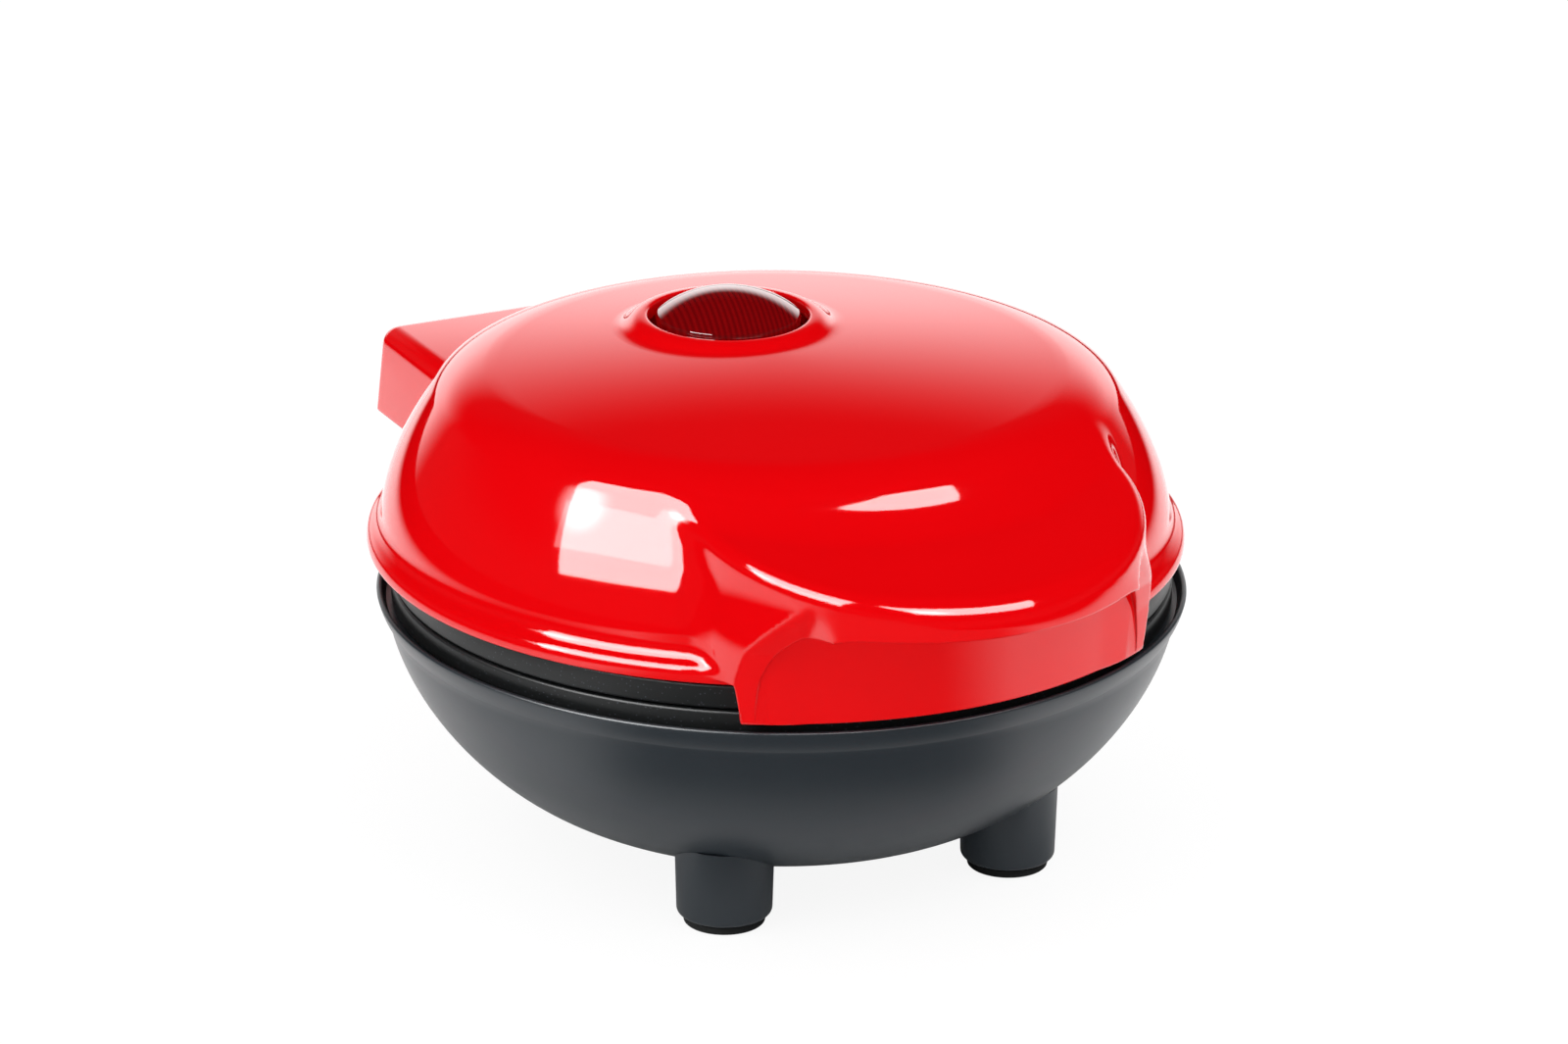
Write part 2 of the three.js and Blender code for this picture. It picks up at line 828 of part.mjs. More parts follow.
function cordGland() {

	const outer = inletBossEnd + fitGap;
	const inner = inletBossStart - fitGap;
	const neck = inletHoleRadius - fitGap;
	const outline = [
		[ glandBore, - outer - glandFlange ],
		[ glandFlangeRadius, - outer - glandFlange ],
		[ glandFlangeRadius, - outer ],
		[ neck, - outer ],
		[ neck, - inner ],
		[ glandLipRadius, - inner ],
		[ neck, - inner + glandLip ],
		[ glandBore, - inner + glandLip ],
	];
	return turned( outline ).rotateX( Math.PI / 2 ).translate( inletX, 0, inletHeight );

}

function hingePin( side ) {

	const headEnd = armInner - fitGap - pinHead;
	const shankEnd = blockHalfWidth - lidWall + fitGap;
	return join(
		rodAlongX( pinHeadRadius, side * headEnd, side * ( headEnd + pinHead ), pinY, pinZ ),
		rodAlongX( pinRadius, side * headEnd, side * shankEnd, pinY, pinZ ),
	);

}

// Cooking plates

function plateBlank() {

	const outline = [
		[ 0, cookFloor ],
		[ cookRadius, cookFloor ],
		[ cookRadius + cookWallDraft, lowerRimTop ],
		[ plateRadius, lowerRimTop ],
		[ plateRadius, rimBottom ],
		[ plateBodyRadius, rimBottom ],
		[ plateBodyRadius, plateUnderside + plateChamfer ],
		[ plateBodyRadius - plateChamfer, plateUnderside ],
		[ 0, plateUnderside ],
	];
	return turned( outline, plateFacets );

}

function studPlaces() {

	const places = [];
	for ( let i = 0; i < studRows; i ++ ) {

		for ( let j = 0; j < studRows; j ++ ) {

			const x = ( i - ( studRows - 1 ) / 2 ) * studPitch;
			const y = ( j - ( studRows - 1 ) / 2 ) * studPitch;
			if ( Math.hypot( x, y ) < studReach ) places.push( [ x, y ] );

		}

	}

	return places;

}

function stud( x, y ) {

	const diagonal = Math.SQRT2;
	const root = plateThickness / 4;
	const low = cookFloor - root;
	const foot = studFoot + root * ( studFoot - studTip ) / studHeight;
	const geometry = new THREE.CylinderGeometry( studTip / diagonal, foot / diagonal, studHeight + root, 4 );
	geometry.rotateY( Math.PI / 4 ).rotateX( Math.PI / 2 );
	return geometry.translate( x, y, ( low + cookFloor + studHeight ) / 2 );

}

function shieldScrewPlaces() {

	return circlePlaces( 3, shieldScrewCircle, Math.PI / 2 );

}

function cookingPlate( bossEnd, holdsThermostat ) {

	const studs = studPlaces().map( ( place ) => stud( ...place ) );
	const bosses = legPlaces.map( ( [ sx, sy ] ) => disc(
		plateBossRadius, bossEnd, plateUnderside + overrun, sx * legSpanX, sy * legSpanY,
	) );
	const holeTop = Math.min( bossEnd + plateScrewBite + overrun, plateUnderside );
	const bossHoles = legPlaces.map( ( [ sx, sy ] ) => disc(
		plateScrewRadius + screwClearance, bossEnd - overrun, holeTop, sx * legSpanX, sy * legSpanY,
	) );
	const shieldBosses = shieldScrewPlaces().map( ( place ) => disc(
		shieldBossRadius, shieldTop + fitGap, plateUnderside + overrun, ...place,
	) );
	const shieldHoles = shieldScrewPlaces().map( ( place ) => disc(
		shieldScrewRadius + screwClearance, shieldTop, shieldTop + fitGap + shieldScrewBite + fitGap, ...place,
	) );
	const earHoles = [ 1, - 1 ].map( ( side ) => disc(
		thermostatScrewRadius + screwClearance, plateUnderside - overrun,
		plateUnderside + thermostatScrewBite + fitGap, side * thermostatScrewReach, 0,
	) );
	const groove = ring(
		elementRing - elementTube - elementGap, elementRing + elementTube + elementGap,
		plateUnderside - overrun, elementCentre + elementTube + elementGap, plateFacets,
	);
	const blank = cut( plateBlank(), groove );
	return cut(
		join( blank, ...studs, ...bosses, ...shieldBosses ),
		...bossHoles, ...shieldHoles, ...( holdsThermostat ? earHoles : [] ),
	);

}

// A ring with an opening at the front, both its ends bent down
function heatingElement( tail ) {

	const start = - Math.PI / 2 + elementOpening;
	const along = ( reach, height ) => {

		const angle = start + reach / elementRing;
		return [ elementRing * Math.cos( angle ), elementRing * Math.sin( angle ), height ];

	};

	const full = 2 * ( Math.PI - elementOpening ) * elementRing;
	const bent = Array.from( { length: elementBendSteps + 1 }, ( _, i ) => {

		const angle = Math.PI / 2 * i / elementBendSteps;
		return [ elementCorner * ( 1 - Math.cos( angle ) ), elementCentre - elementCorner * ( 1 - Math.sin( angle ) ) ];

	} );
	const level = Array.from( { length: elementSteps / 2 - 1 }, ( _, i ) => {

		const share = ( i + 1 ) / ( elementSteps / 2 );
		return along( elementCorner + ( full - 2 * elementCorner ) * share, elementCentre );

	} );
	return tube( [
		along( 0, elementCentre - tail ),
		...bent.map( ( [ reach, height ] ) => along( reach, height ) ),
		...level,
		...bent.reverse().map( ( [ reach, height ] ) => along( full - reach, height ) ),
		along( full, elementCentre - tail ),
	], elementTube, elementSteps, elementFacets );

}

function heatShield() {

	const sheet = ring( shieldHole, shieldRadius, shieldBottom, shieldTop, plateFacets / 2 );
	const holes = shieldScrewPlaces().map( ( place ) => disc(
		shieldScrewRadius + screwClearance, shieldBottom - overrun, shieldTop + overrun, ...place,
	) );
	const start = - Math.PI / 2 + elementOpening;
	const tailHoles = [ 1, - 1 ].map( ( side ) => disc(
		elementTube + shieldTailGap, shieldBottom - overrun, shieldTop + overrun,
		side * elementRing * Math.cos( start ), elementRing * Math.sin( start ),
	) );
	return cut( sheet, ...holes, ...tailHoles );

}

function shieldScrew( [ x, y ] ) {

	const headEnd = shieldBottom - fitGap - shieldScrewHeadHeight;
	const length = shieldSheet + 2 * fitGap + shieldScrewBite;
	return screw( x, y, headEnd, shieldScrewHeadRadius, shieldScrewHeadHeight, shieldScrewRadius, length, true );

}

// Parts of the circuit in the base

function thermostat() {

	const top = plateUnderside - fitGap;
	const bottom = top - thermostatHeight;
	const body = turned( [
		[ 0, bottom ],
		[ thermostatBodyRadius, bottom ],
		[ thermostatBodyRadius, top - thermostatCup ],
		[ thermostatRadius, top - thermostatCup ],
		[ thermostatRadius, top ],
		[ 0, top ],
	] );
	const ears = box(
		- thermostatEarReach, thermostatEarReach, - thermostatEarWidth / 2, thermostatEarWidth / 2,
		top - thermostatEarSheet, top,
	);
	const tabs = [ 1, - 1 ].map( ( side ) => box(
		- tabWidth / 2, tabWidth / 2,
		side * tabSpacing - tabSheet / 2, side * tabSpacing + tabSheet / 2,
		bottom - tabLength, bottom + overrun,
	) );
	const holes = [ 1, - 1 ].map( ( side ) => disc(
		thermostatScrewRadius + screwClearance, top - thermostatEarSheet - overrun, top + overrun,
		side * thermostatScrewReach, 0,
	) );
	return cut( join( body, ears, ...tabs ), ...holes );

}

function thermostatScrew( side ) {

	const headEnd = plateUnderside - 2 * fitGap - thermostatEarSheet - thermostatScrewHeadHeight;
	const length = thermostatEarSheet + 2 * fitGap + thermostatScrewBite;
	return screw(
		side * thermostatScrewReach, 0, headEnd, thermostatScrewHeadRadius, thermostatScrewHeadHeight,
		thermostatScrewRadius, length, true,
	);

}

function thermalFuse() {

	const z = shieldBottom - fitGap - fuseRadius;
	const wireEnd = fuseLength / 2 + fuseWireLength;
	return join(
		rodAlongY( fuseRadius, - fuseLength / 2, fuseLength / 2, - fuseReach, z ),
		rodAlongY( fuseWireRadius, - wireEnd, wireEnd, - fuseReach, z, wireFacets ),
	);

}

function terminalBlock() {

	const low = bowlFloor + terminalFoot + fitGap;
	const high = low + terminalHeight;
	const body = box(
		- terminalWidth / 2, terminalWidth / 2,
		terminalY - terminalDepth / 2, terminalY + terminalDepth / 2, low, high,
	);
	const notch = box(
		- terminalWidth / 8, terminalWidth / 8,
		terminalY - terminalDepth, terminalY + terminalDepth, high - terminalHeight / 3, high + overrun,
	);
	const holes = [ 1, - 1 ].map( ( side ) => disc(
		terminalScrewRadius + screwClearance, low - overrun, high + overrun, side * terminalScrewReach, terminalY,
	) );
	return cut( body, notch, ...holes );

}

function terminalScrew( side ) {

	const high = bowlFloor + terminalFoot + fitGap + terminalHeight;
	const length = terminalHeight + terminalFoot;
	return screw(
		side * terminalScrewReach, terminalY, high + fitGap + terminalScrewHeadHeight,
		terminalScrewHeadRadius, terminalScrewHeadHeight, terminalScrewRadius, length, false,
	);

}

// Lid shell

function domeOutline() {

	const crown = new THREE.Vector2( crownRadius, crownHeight );
	const shoulder = new THREE.Vector2( shoulderRadius, shoulderHeight );
	const foot = new THREE.Vector2( domeFootRadius, domeFootHeight );
	const apex = new THREE.Vector2( 0, apexHeight );
	return [
		...bend( foot, shoulder, ...sidePullShares, sideSteps ),
		...bend( shoulder, crown, ...shoulderPullShares, shoulderSteps ).slice( 1 ),
		...bend( crown, apex, ...crownPullShares, crownSteps ).slice( 1 ),
	];

}

function domeSolid() {

	const edge = new THREE.Vector2( flangeRadius, flangeBottom + flangeEdge );
	const foot = new THREE.Vector2( domeFootRadius, domeFootHeight );
	const outline = [
		[ 0, flangeBottom ],
		[ flangeFootRadius, flangeBottom ],
		...bend( edge, foot, ...flangePullShares, flangeSteps ).slice( 0, - 1 ),
		...domeOutline(),
	];
	return turned( outline, bodyFacets, 0, lidSetback );

}

function domeHollow() {

	const inner = offsetOutline( domeOutline(), lidWall );
	const apex = new THREE.Vector2( 0, apexHeight - lidWall );
	const outline = [
		[ 0, flangeBottom - overrun ],
		[ flangeInnerRadius, flangeBottom - overrun ],
		[ flangeInnerRadius, flangeBottom ],
		...inner.filter( ( p, i ) => i < inner.length - 1 && i % hollowStep === 0 ),
		apex,
	];
	return turned( outline, bodyFacets, 0, lidSetback );

}

function tongueOutline( inset ) {

	const radius = tongueRadius - inset;
	const places = [];
	for ( let i = 0; i <= tongueSteps; i ++ ) {

		const angle = Math.PI + Math.PI * i / tongueSteps;
		places.push( new THREE.Vector2( radius * Math.cos( angle ), tongueCentreY + radius * Math.sin( angle ) ) );

	}

	places.push( new THREE.Vector2( radius, tongueBackY - inset ), new THREE.Vector2( - radius, tongueBackY - inset ) );
	return places;

}

function tongueHeight( x, y ) {

	const across = x / tongueRadius;
	return tongueTop + ( y - tongueTopY ) * tongueSlope - tongueCrown * across * across;

}

function tongueEdge( x ) {

	const across = x / tongueRadius;
	return THREE.MathUtils.lerp( tongueNoseEdge, tongueFlankEdge, Math.min( across * across, 1 ) );

}

function tongueSolid() {

	return cappedBlock( tongueOutline, tongueBottom, 0, tongueHeight, tongueEdge );

}

// The finger recess, open below and in front, its back wall round about the bowl axis
function recess() {

	const low = tongueBottom - overrun;
	const arch = new THREE.Shape();
	arch.moveTo( - recessFootHalf, low );
	arch.lineTo( recessFootHalf, low );
	arch.lineTo( recessFootHalf, tongueBottom );
	arch.quadraticCurveTo( recessPullHalf, recessTop, recessTopHalf, recessTop );
	arch.lineTo( - recessTopHalf, recessTop );
	arch.quadraticCurveTo( - recessPullHalf, recessTop, - recessFootHalf, tongueBottom );
	arch.closePath();
	const reach = frontReach + overrun;
	const prism = new THREE.ExtrudeGeometry( arch, { depth: reach, bevelEnabled: false, curveSegments: edgeSteps } );
	prism.rotateX( Math.PI / 2 );
	const wall = [];
	for ( let i = 0; i < recessFilletSteps; i ++ ) {

		const angle = Math.PI - Math.PI / 2 * i / recessFilletSteps;
		wall.push( [
			recessRadius + recessFillet * ( 1 + Math.cos( angle ) ),
			recessTop - recessFillet * ( 1 - Math.sin( angle ) ),
		] );

	}

	const core = turned( [
		[ 0, low - overrun ],
		[ recessRadius, low - overrun ],
		...wall,
		[ recessRadius + recessFillet, recessTop ],
		[ recessRadius + recessFillet, recessTop + overrun ],
		[ 0, recessTop + overrun ],
	], bodyFacets );
	return cut( prism, core );

}

function tonguePocket() {

	const floor = recessTop + lidWall;
	const upper = cappedBlock(
		( inset ) => tongueOutline( inset + tonguePocketInset ), floor, 0,
		( x, y ) => tongueHeight( x, y ) - lidWall, () => tonguePocketEdge,
	);
	const lower = common(
		disc( recessRadius - lidWall, flangeBottom, floor + overrun, 0, 0, bodyFacets ),
		box( - tonguePocketHalf, tonguePocketHalf, - frontReach, tongueCentreY, flangeBottom, floor + overrun ),
	);
	return join( upper, lower );

}

function blockOutline( inset ) {

	const half = blockHalfWidth - inset;
	const back = blockBackY - inset;
	const places = [ new THREE.Vector2( - half, blockFrontY ), new THREE.Vector2( half, blockFrontY ) ];
	[ [ half - blockCorner, 0 ], [ - half + blockCorner, Math.PI / 2 ] ].forEach( ( [ x, start ] ) => {

		for ( let i = 0; i <= cornerSteps; i ++ ) {

			const angle = start + Math.PI / 2 * i / cornerSteps;
			places.push( new THREE.Vector2(
				x + blockCorner * Math.cos( angle ), back - blockCorner + blockCorner * Math.sin( angle ),
			) );

		}

	} );
	return places;

}

function blockCavity() {

	const half = blockHalfWidth - lidWall;
	return box( - half, half, blockCavityFront, blockBackY - lidWall, blockBottom - overrun, blockTop - lidWall );

}

function hingeEar( side ) {

	const inner = armOuter + earGap;
	const outer = blockHalfWidth - lidWall / 2;
	const shape = new THREE.Shape();
	shape.moveTo( pinY - earRadius, blockTop - lidWall / 2 );
	shape.absarc( pinY, pinZ, earRadius, Math.PI, 2 * Math.PI, false );
	shape.lineTo( pinY + earRadius, blockTop - lidWall / 2 );
	shape.closePath();
	return side > 0 ? sidePlate( shape, inner, outer ) : sidePlate( shape, - outer, - inner );

}

function lensBossPlaces() {

	return circlePlaces( 3, lensScrewCircle, Math.PI / 2 ).map( ( [ x, y ] ) => [ x, y + lensY ] );

}

function lidShell() {

	const block = cappedBlock( blockOutline, blockBottom, blockDraft, () => blockTop, () => blockEdge );
	const collar = turned( [
		[ 0, lensSeatHeight ],
		[ collarFootRadius, lensSeatHeight ],
		[ collarFootRadius, collarFootHeight ],
		[ ( collarFootRadius + 2 * collarTopRadius ) / 3, ( collarFootHeight + collarTopHeight ) / 2 ],
		[ collarTopRadius, collarTopHeight ],
		[ 0, collarTopHeight ],
	], bodyFacets / 2, 0, lensY );
	const outer = join( domeSolid(), tongueSolid(), block, collar );
	const hollow = join( domeHollow(), tonguePocket(), blockCavity() );
	const underPlates = disc( skirtInnerRadius, tongueBottom - overrun, flangeBottom, 0, 0, bodyFacets );
	const besideLegs = [ tongueLegHalf, - tongueRadius - overrun ].map( ( x ) => box(
		x, x + tongueRadius + overrun - tongueLegHalf, - frontReach, 0, tongueBottom - overrun, flangeBottom,
	) );
	const shell = cut( outer, hollow, recess(), underPlates, ...besideLegs );
	const seat = disc( lensSeatRadius, lensSeatHeight, crownHeight, 0, lensY, bodyFacets / 2 );
	const lensBosses = lensBossPlaces().map( ( place ) => disc( lensBossRadius, lensRingTop + fitGap, crownHeight, ...place ) );
	const lidBosses = [ 1, - 1 ].map( ( side ) => disc(
		lidBossRadius, frameArmLevel + frameSheet + fitGap, blockTop - lidWall / 2, side * lidScrewX, lidScrewY,
	) );
	const ledges = [ 1, - 1 ].map( ( side ) => box(
		side > 0 ? frameHookInner : - frameHookOuter, side > 0 ? frameHookOuter : - frameHookInner,
		- hookLedgeFront, - hookLedgeBack, recessTop + lidWall / 2, frameBottom - fitGap,
	) );
	const ears = [ 1, - 1 ].map( hingeEar );
	const lensHole = disc( lensHoleRadius, lensSeatHeight - overrun, collarTopHeight + overrun, 0, lensY, bodyFacets / 2 );
	const lensHoles = lensBossPlaces().map( ( place ) => disc(
		lensScrewRadius + screwClearance, lensRingTop, lensRingTop + fitGap + lensScrewBite + fitGap, ...place,
	) );
	const lidHoles = [ 1, - 1 ].map( ( side ) => disc(
		lidScrewRadius + screwClearance, frameArmLevel, blockTop - lidScrewSkin, side * lidScrewX, lidScrewY,
	) );
	const pinHoles = [ 1, - 1 ].map( ( side ) => rodAlongX(
		pinRadius + fitGap, side * armOuter, side * ( blockHalfWidth - lidWall + 2 * fitGap ), pinY, pinZ,
	) );
	return cut(
		join( shell, seat, ...lensBosses, ...lidBosses, ...ledges, ...ears ),
		lensHole, ...lensHoles, ...lidHoles, ...pinHoles,
	);

}

function indicatorLens() {

	const centre = lensTop - lensSphere;
	const cap = ( radius, sphere ) => {

		const reach = Math.asin( radius / sphere );
		return Array.from( { length: lensSteps + 1 }, ( _, i ) => {

			const angle = reach * i / lensSteps;
			return [ sphere * Math.sin( angle ), centre + sphere * Math.cos( angle ) ];

		} );

	};

	const bottom = lensUnderSeat - lensFlange;
	const outline = [
		...cap( lensRadius, lensSphere ),
		[ lensRadius, lensUnderSeat ],
		[ lensFlangeRadius, lensUnderSeat ],
		[ lensFlangeRadius, bottom ],
		[ lensRadius - lensWall, bottom ],
		...cap( lensRadius - lensWall, lensSphere - lensWall ).reverse(),
	];
	return turned( outline, bodyFacets / 2, 0, lensY );

}

function lensRing() {

	const low = lensRingTop - lensRingSheet;
	const holes = lensBossPlaces().map( ( place ) => disc(
		lensScrewRadius + screwClearance, low - overrun, lensRingTop + overrun, ...place,
	) );
	return cut( ring( lensRingInner, lensRingOuter, low, lensRingTop, bodyFacets / 2, 0, lensY ), ...holes );

}

function lensScrew( [ x, y ] ) {

	const headEnd = lensRingTop - lensRingSheet - fitGap - lensScrewHeadHeight;
	const length = lensRingSheet + 2 * fitGap + lensScrewBite;
	return screw( x, y, headEnd, lensScrewHeadRadius, lensScrewHeadHeight, lensScrewRadius, length, true );

}

function lidFrame() {

	const sheet = ring( frameHole, frameRadius, frameBottom, frameTop, plateFacets );
	const rootY = frameRadius - frameHookOuter;
	const hooks = [ 1, - 1 ].map( ( side ) => box(
		side > 0 ? frameHookInner : - frameHookOuter, side > 0 ? frameHookOuter : - frameHookInner,
		- frameHookReach, - rootY, frameBottom, frameTop,
	) );
	const armShape = outlineShape( [
		[ rootY, frameBottom ],
		[ frameArmDropY - frameArmBevel, frameBottom ],
		[ frameArmDropY, frameBottom - frameArmBevel ],
		[ frameArmDropY, frameArmLevel ],
		[ frameArmEnd, frameArmLevel ],
		[ frameArmEnd, frameArmLevel + frameSheet ],
		[ frameArmDropY + frameSheet, frameArmLevel + frameSheet ],
		[ frameArmDropY + frameSheet, frameTop - frameArmBevel - frameSheet ],
		[ frameArmDropY - frameArmBevel, frameTop ],
		[ rootY, frameTop ],
	] );
	const arms = [
		sidePlate( armShape, frameArmInner, frameArmOuter ),
		sidePlate( armShape, - frameArmOuter, - frameArmInner ),
	];
	const plateHoles = legPlaces.map( ( [ sx, sy ] ) => disc(
		plateScrewRadius + screwClearance, frameBottom - overrun, frameTop + overrun, sx * legSpanX, sy * legSpanY,
	) );
	const lidHoles = [ 1, - 1 ].map( ( side ) => disc(
		lidScrewRadius + screwClearance, frameArmLevel - overrun, frameArmLevel + frameSheet + overrun,
		side * lidScrewX, lidScrewY,
	) );
	return cut( join( sheet, ...hooks, ...arms ), ...plateHoles, ...lidHoles );

}

function lidScrew( side ) {

	const headEnd = frameArmLevel - fitGap - lidScrewHeadHeight;
	const length = blockTop - lidScrewSkin - frameArmLevel;
	return screw(
		side * lidScrewX, lidScrewY, headEnd, lidScrewHeadRadius, lidScrewHeadHeight, lidScrewRadius, length, true,
	);

}

function upperPlateScrew( [ sideX, sideY ] ) {

	const headEnd = frameTop + fitGap + plateScrewHeadHeight;
	const length = frameSheet + 2 * fitGap + plateScrewBite;
	return screw(
		sideX * legSpanX, sideY * legSpanY, headEnd,
		plateScrewHeadRadius, plateScrewHeadHeight, plateScrewRadius, length, false,
	);

}

function lampHolder() {

	const low = frameTop + fitGap;
	return turned( [
		[ lampRadius + fitGap, low ],
		[ lampHolderFlange, low ],
		[ lampHolderFlange, low + lampHolderSheet ],
		[ lampHolderRadius, low + lampHolderSheet ],
		[ lampHolderRadius, low + lampHolderHeight ],
		[ lampRadius + fitGap, low + lampHolderHeight ],
	], smallFacets, 0, lensY );

}

function neonLamp() {

	const low = frameTop + fitGap;
	return turned( [
		[ 0, low ],
		[ lampRadius, low ],
		[ lampRadius, low + lampHeight - lampTip ],
		[ lampRadius / 2, low + lampHeight - lampTip / 4 ],
		[ 0, low + lampHeight ],
	], smallFacets, 0, lensY );

}

// Wires, their places taken from the pieces that they join

const terminalLevel = bowlFloor + terminalFoot + terminalHeight / 2;
const fuseLevel = shieldBottom - fitGap - fuseRadius;
const fuseWireEnd = fuseLength / 2 + fuseWireLength + fitGap;
const tabLevel = plateUnderside - fitGap - thermostatHeight - tabLength / 2;
const tailX = elementRing * Math.sin( elementOpening );
const tailY = - elementRing * Math.cos( elementOpening );
const lowerTailEnd = elementCentre - lowerElementTail - fitGap;
const terminalEndX = terminalWidth / 2 + fitGap;
const lidLeadLevel = ( 2 * seamHeight - shieldBottom + frameBottom ) / 2;

function liveLead() {

	return tube( [
		[ - terminalEndX, terminalY, terminalLevel ],
		[ - terminalEndX - wireSag, terminalY, terminalLevel ],
		[ - fuseReach, fuseWireEnd + wireSag, fuseLevel ],
		[ - fuseReach, fuseWireEnd, fuseLevel ],
	], leadRadius );

}

function fuseLead() {

	return tube( [
		[ - fuseReach, - fuseWireEnd, fuseLevel ],
		[ - fuseReach, - fuseWireEnd - wireSag, fuseLevel ],
		[ - tabWidth / 2 - wireReach, - tabSpacing, tabLevel ],
		[ - tabWidth / 2 - fitGap, - tabSpacing, tabLevel ],
	], leadRadius );

}

function thermostatLead() {

	return tube( [
		[ tabWidth / 2 + fitGap, tabSpacing, tabLevel ],
		[ tabWidth / 2 + wireReach, tabSpacing, tabLevel ],
		[ tailX + wireSag, tailY / 2, tabLevel - wireSag ],
		[ tailX, tailY, lowerTailEnd - wireSag ],
		[ tailX, tailY, lowerTailEnd ],
	], leadRadius );

}

function neutralLead() {

	return tube( [
		[ terminalEndX, terminalY, terminalLevel ],
		[ terminalEndX + wireSag, terminalY, terminalLevel ],
		[ fuseReach, terminalY - wireReach * 2, terminalLevel ],
		[ fuseReach, - terminalDepth, terminalLevel ],
		[ tailX, tailY - wireReach, terminalLevel ],
		[ - tailX + wireReach, tailY - wireReach, terminalLevel ],
		[ - tailX, tailY, lowerTailEnd - wireSag ],
		[ - tailX, tailY, lowerTailEnd ],
	], leadRadius, leadSteps * 2 );

}

function lidLead( side ) {

	const besideTail = tailX + elementTube + fitGap * 2 + leadRadius;
	return tube( [
		[ side * loomRadius * 2, frameRadius - wireReach, lidLeadLevel ],
		[ side * loomRadius * 3, legSpanY, lidLeadLevel ],
		[ side * fuseReach, lensY, lidLeadLevel ],
		[ side * ( fuseReach - wireSag / 2 ), tailY / 2, lidLeadLevel ],
		[ side * besideTail, tailY, lidLeadLevel ],
	], leadRadius, leadSteps * 2 );

}

function lampLead( side ) {

	const start = lampHolderRadius + leadRadius + fitGap;
	const level = frameTop + lampHolderSheet + leadRadius + fitGap * 2;
	const beforeTail = tailX - elementTube - fitGap * 2 - leadRadius;
	return tube( [
		[ side * leadRadius * 2, lensY - start, level ],
		[ side * leadRadius * 2, frameHole, level ],
		[ side * leadRadius * 2, frameHole - wireSag, frameTop ],
		[ side * lampRadius, 0, lidLeadLevel ],
		[ side * beforeTail, tailY / 2, lidLeadLevel ],
		[ side * beforeTail, tailY, lidLeadLevel ],
	], leadRadius, leadSteps * 2 );

}

// The wires' sleeve, from the terminal block out of the bowl and past the hinge into the lid
function hingeLoom() {

	const start = terminalY + terminalDepth / 2 + fitGap;
	return tube( [
		[ 0, start, terminalLevel ],
		[ 0, start + wireSag, terminalLevel ],
		[ 0, loomRiseY, loomRiseHeight ],
		[ 0, bowlRimRadius - bowlWall / 2, loomHoleHeight ],
		[ 0, loomOutY, loomOutHeight ],
		[ 0, loomBackY, loomBackLow ],
		[ 0, loomBackY, loomBackHigh ],
		[ 0, loomEntryY, loomEntryHeight ],
		[ 0, frameRadius - wireReach, frameBottom - fitGap * 2 - loomRadius ],
	], loomRadius, loomSteps, loomFacets );

}

// Finishes

const finishes = {
	redGloss: { color: 0xd40808, roughness: 0.12, metalness: 0 },
	bowlGrey: { color: 0x3c4043, roughness: 0.4, metalness: 0 },
	blackRubber: { color: 0x17181a, roughness: 0.85, metalness: 0 },
	nonStick: { color: 0x222426, roughness: 0.55, metalness: 0.2 },
	steel: { color: 0x9a9da0, roughness: 0.35, metalness: 1 },
	elementSteel: { color: 0x6d6a64, roughness: 0.5, metalness: 1 },
	whitePlastic: { color: 0xd9d6cc, roughness: 0.6, metalness: 0 },
	redLens: { color: 0x8a0a0a, roughness: 0.1, metalness: 0 },
	lampGlass: { color: 0xf2b27a, roughness: 0.15, metalness: 0 },
	blackPlastic: { color: 0x1d1e20, roughness: 0.5, metalness: 0 },
	wireRed: { color: 0xa83226, roughness: 0.6, metalness: 0 },
	wireSleeve: { color: 0xb9b4a4, roughness: 0.8, metalness: 0 },
};

const group = new THREE.Group();
group.position.set( 0, centreY, 0 );

function place( name, shape, finish ) {

	const mesh = new THREE.Mesh( geometryOf( shape ), new THREE.MeshStandardMaterial( finishes[ finish ] ) );
	mesh.name = name;
	group.add( mesh );

}

const sideNames = [ [ 'left', - 1 ], [ 'right', 1 ] ];
const cornerNames = [ 'front_right', 'front_left', 'back_left', 'back_right' ];

place( 'base_bowl', baseBowl(), 'bowlGrey' );
legPlaces.forEach( ( at, i ) => place( `foot_pad_${ cornerNames[ i ] }`, footPad( at ), 'blackRubber' ) );
legPlaces.forEach( ( at, i ) => place( `base_screw_${ cornerNames[ i ] }`, baseScrew( at ), 'steel' ) );
place( 'cord_gland', cordGland(), 'blackRubber' );
sideNames.forEach( ( [ name, side ] ) => place( `hinge_pin_${ name }`, hingePin( side ), 'steel' ) );
place( 'lower_plate', cookingPlate( lowerBossEnd, true ), 'nonStick' );
place( 'lower_element', heatingElement( lowerElementTail ), 'elementSteel' );
place( 'lower_shield', heatShield(), 'steel' );
shieldScrewPlaces().forEach( ( at, i ) => place( `lower_shield_screw_${ i + 1 }`, shieldScrew( at ), 'steel' ) );
place( 'thermostat', thermostat(), 'steel' );
sideNames.forEach( ( [ name, side ] ) => place( `thermostat_screw_${ name }`, thermostatScrew( side ), 'steel' ) );
place( 'thermal_fuse', thermalFuse(), 'whitePlastic' );
place( 'terminal_block', terminalBlock(), 'whitePlastic' );
sideNames.forEach( ( [ name, side ] ) => place( `terminal_screw_${ name }`, terminalScrew( side ), 'steel' ) );
place( 'live_lead', liveLead(), 'wireRed' );
place( 'fuse_lead', fuseLead(), 'wireRed' );
place( 'thermostat_lead', thermostatLead(), 'wireRed' );
place( 'neutral_lead', neutralLead(), 'wireSleeve' );
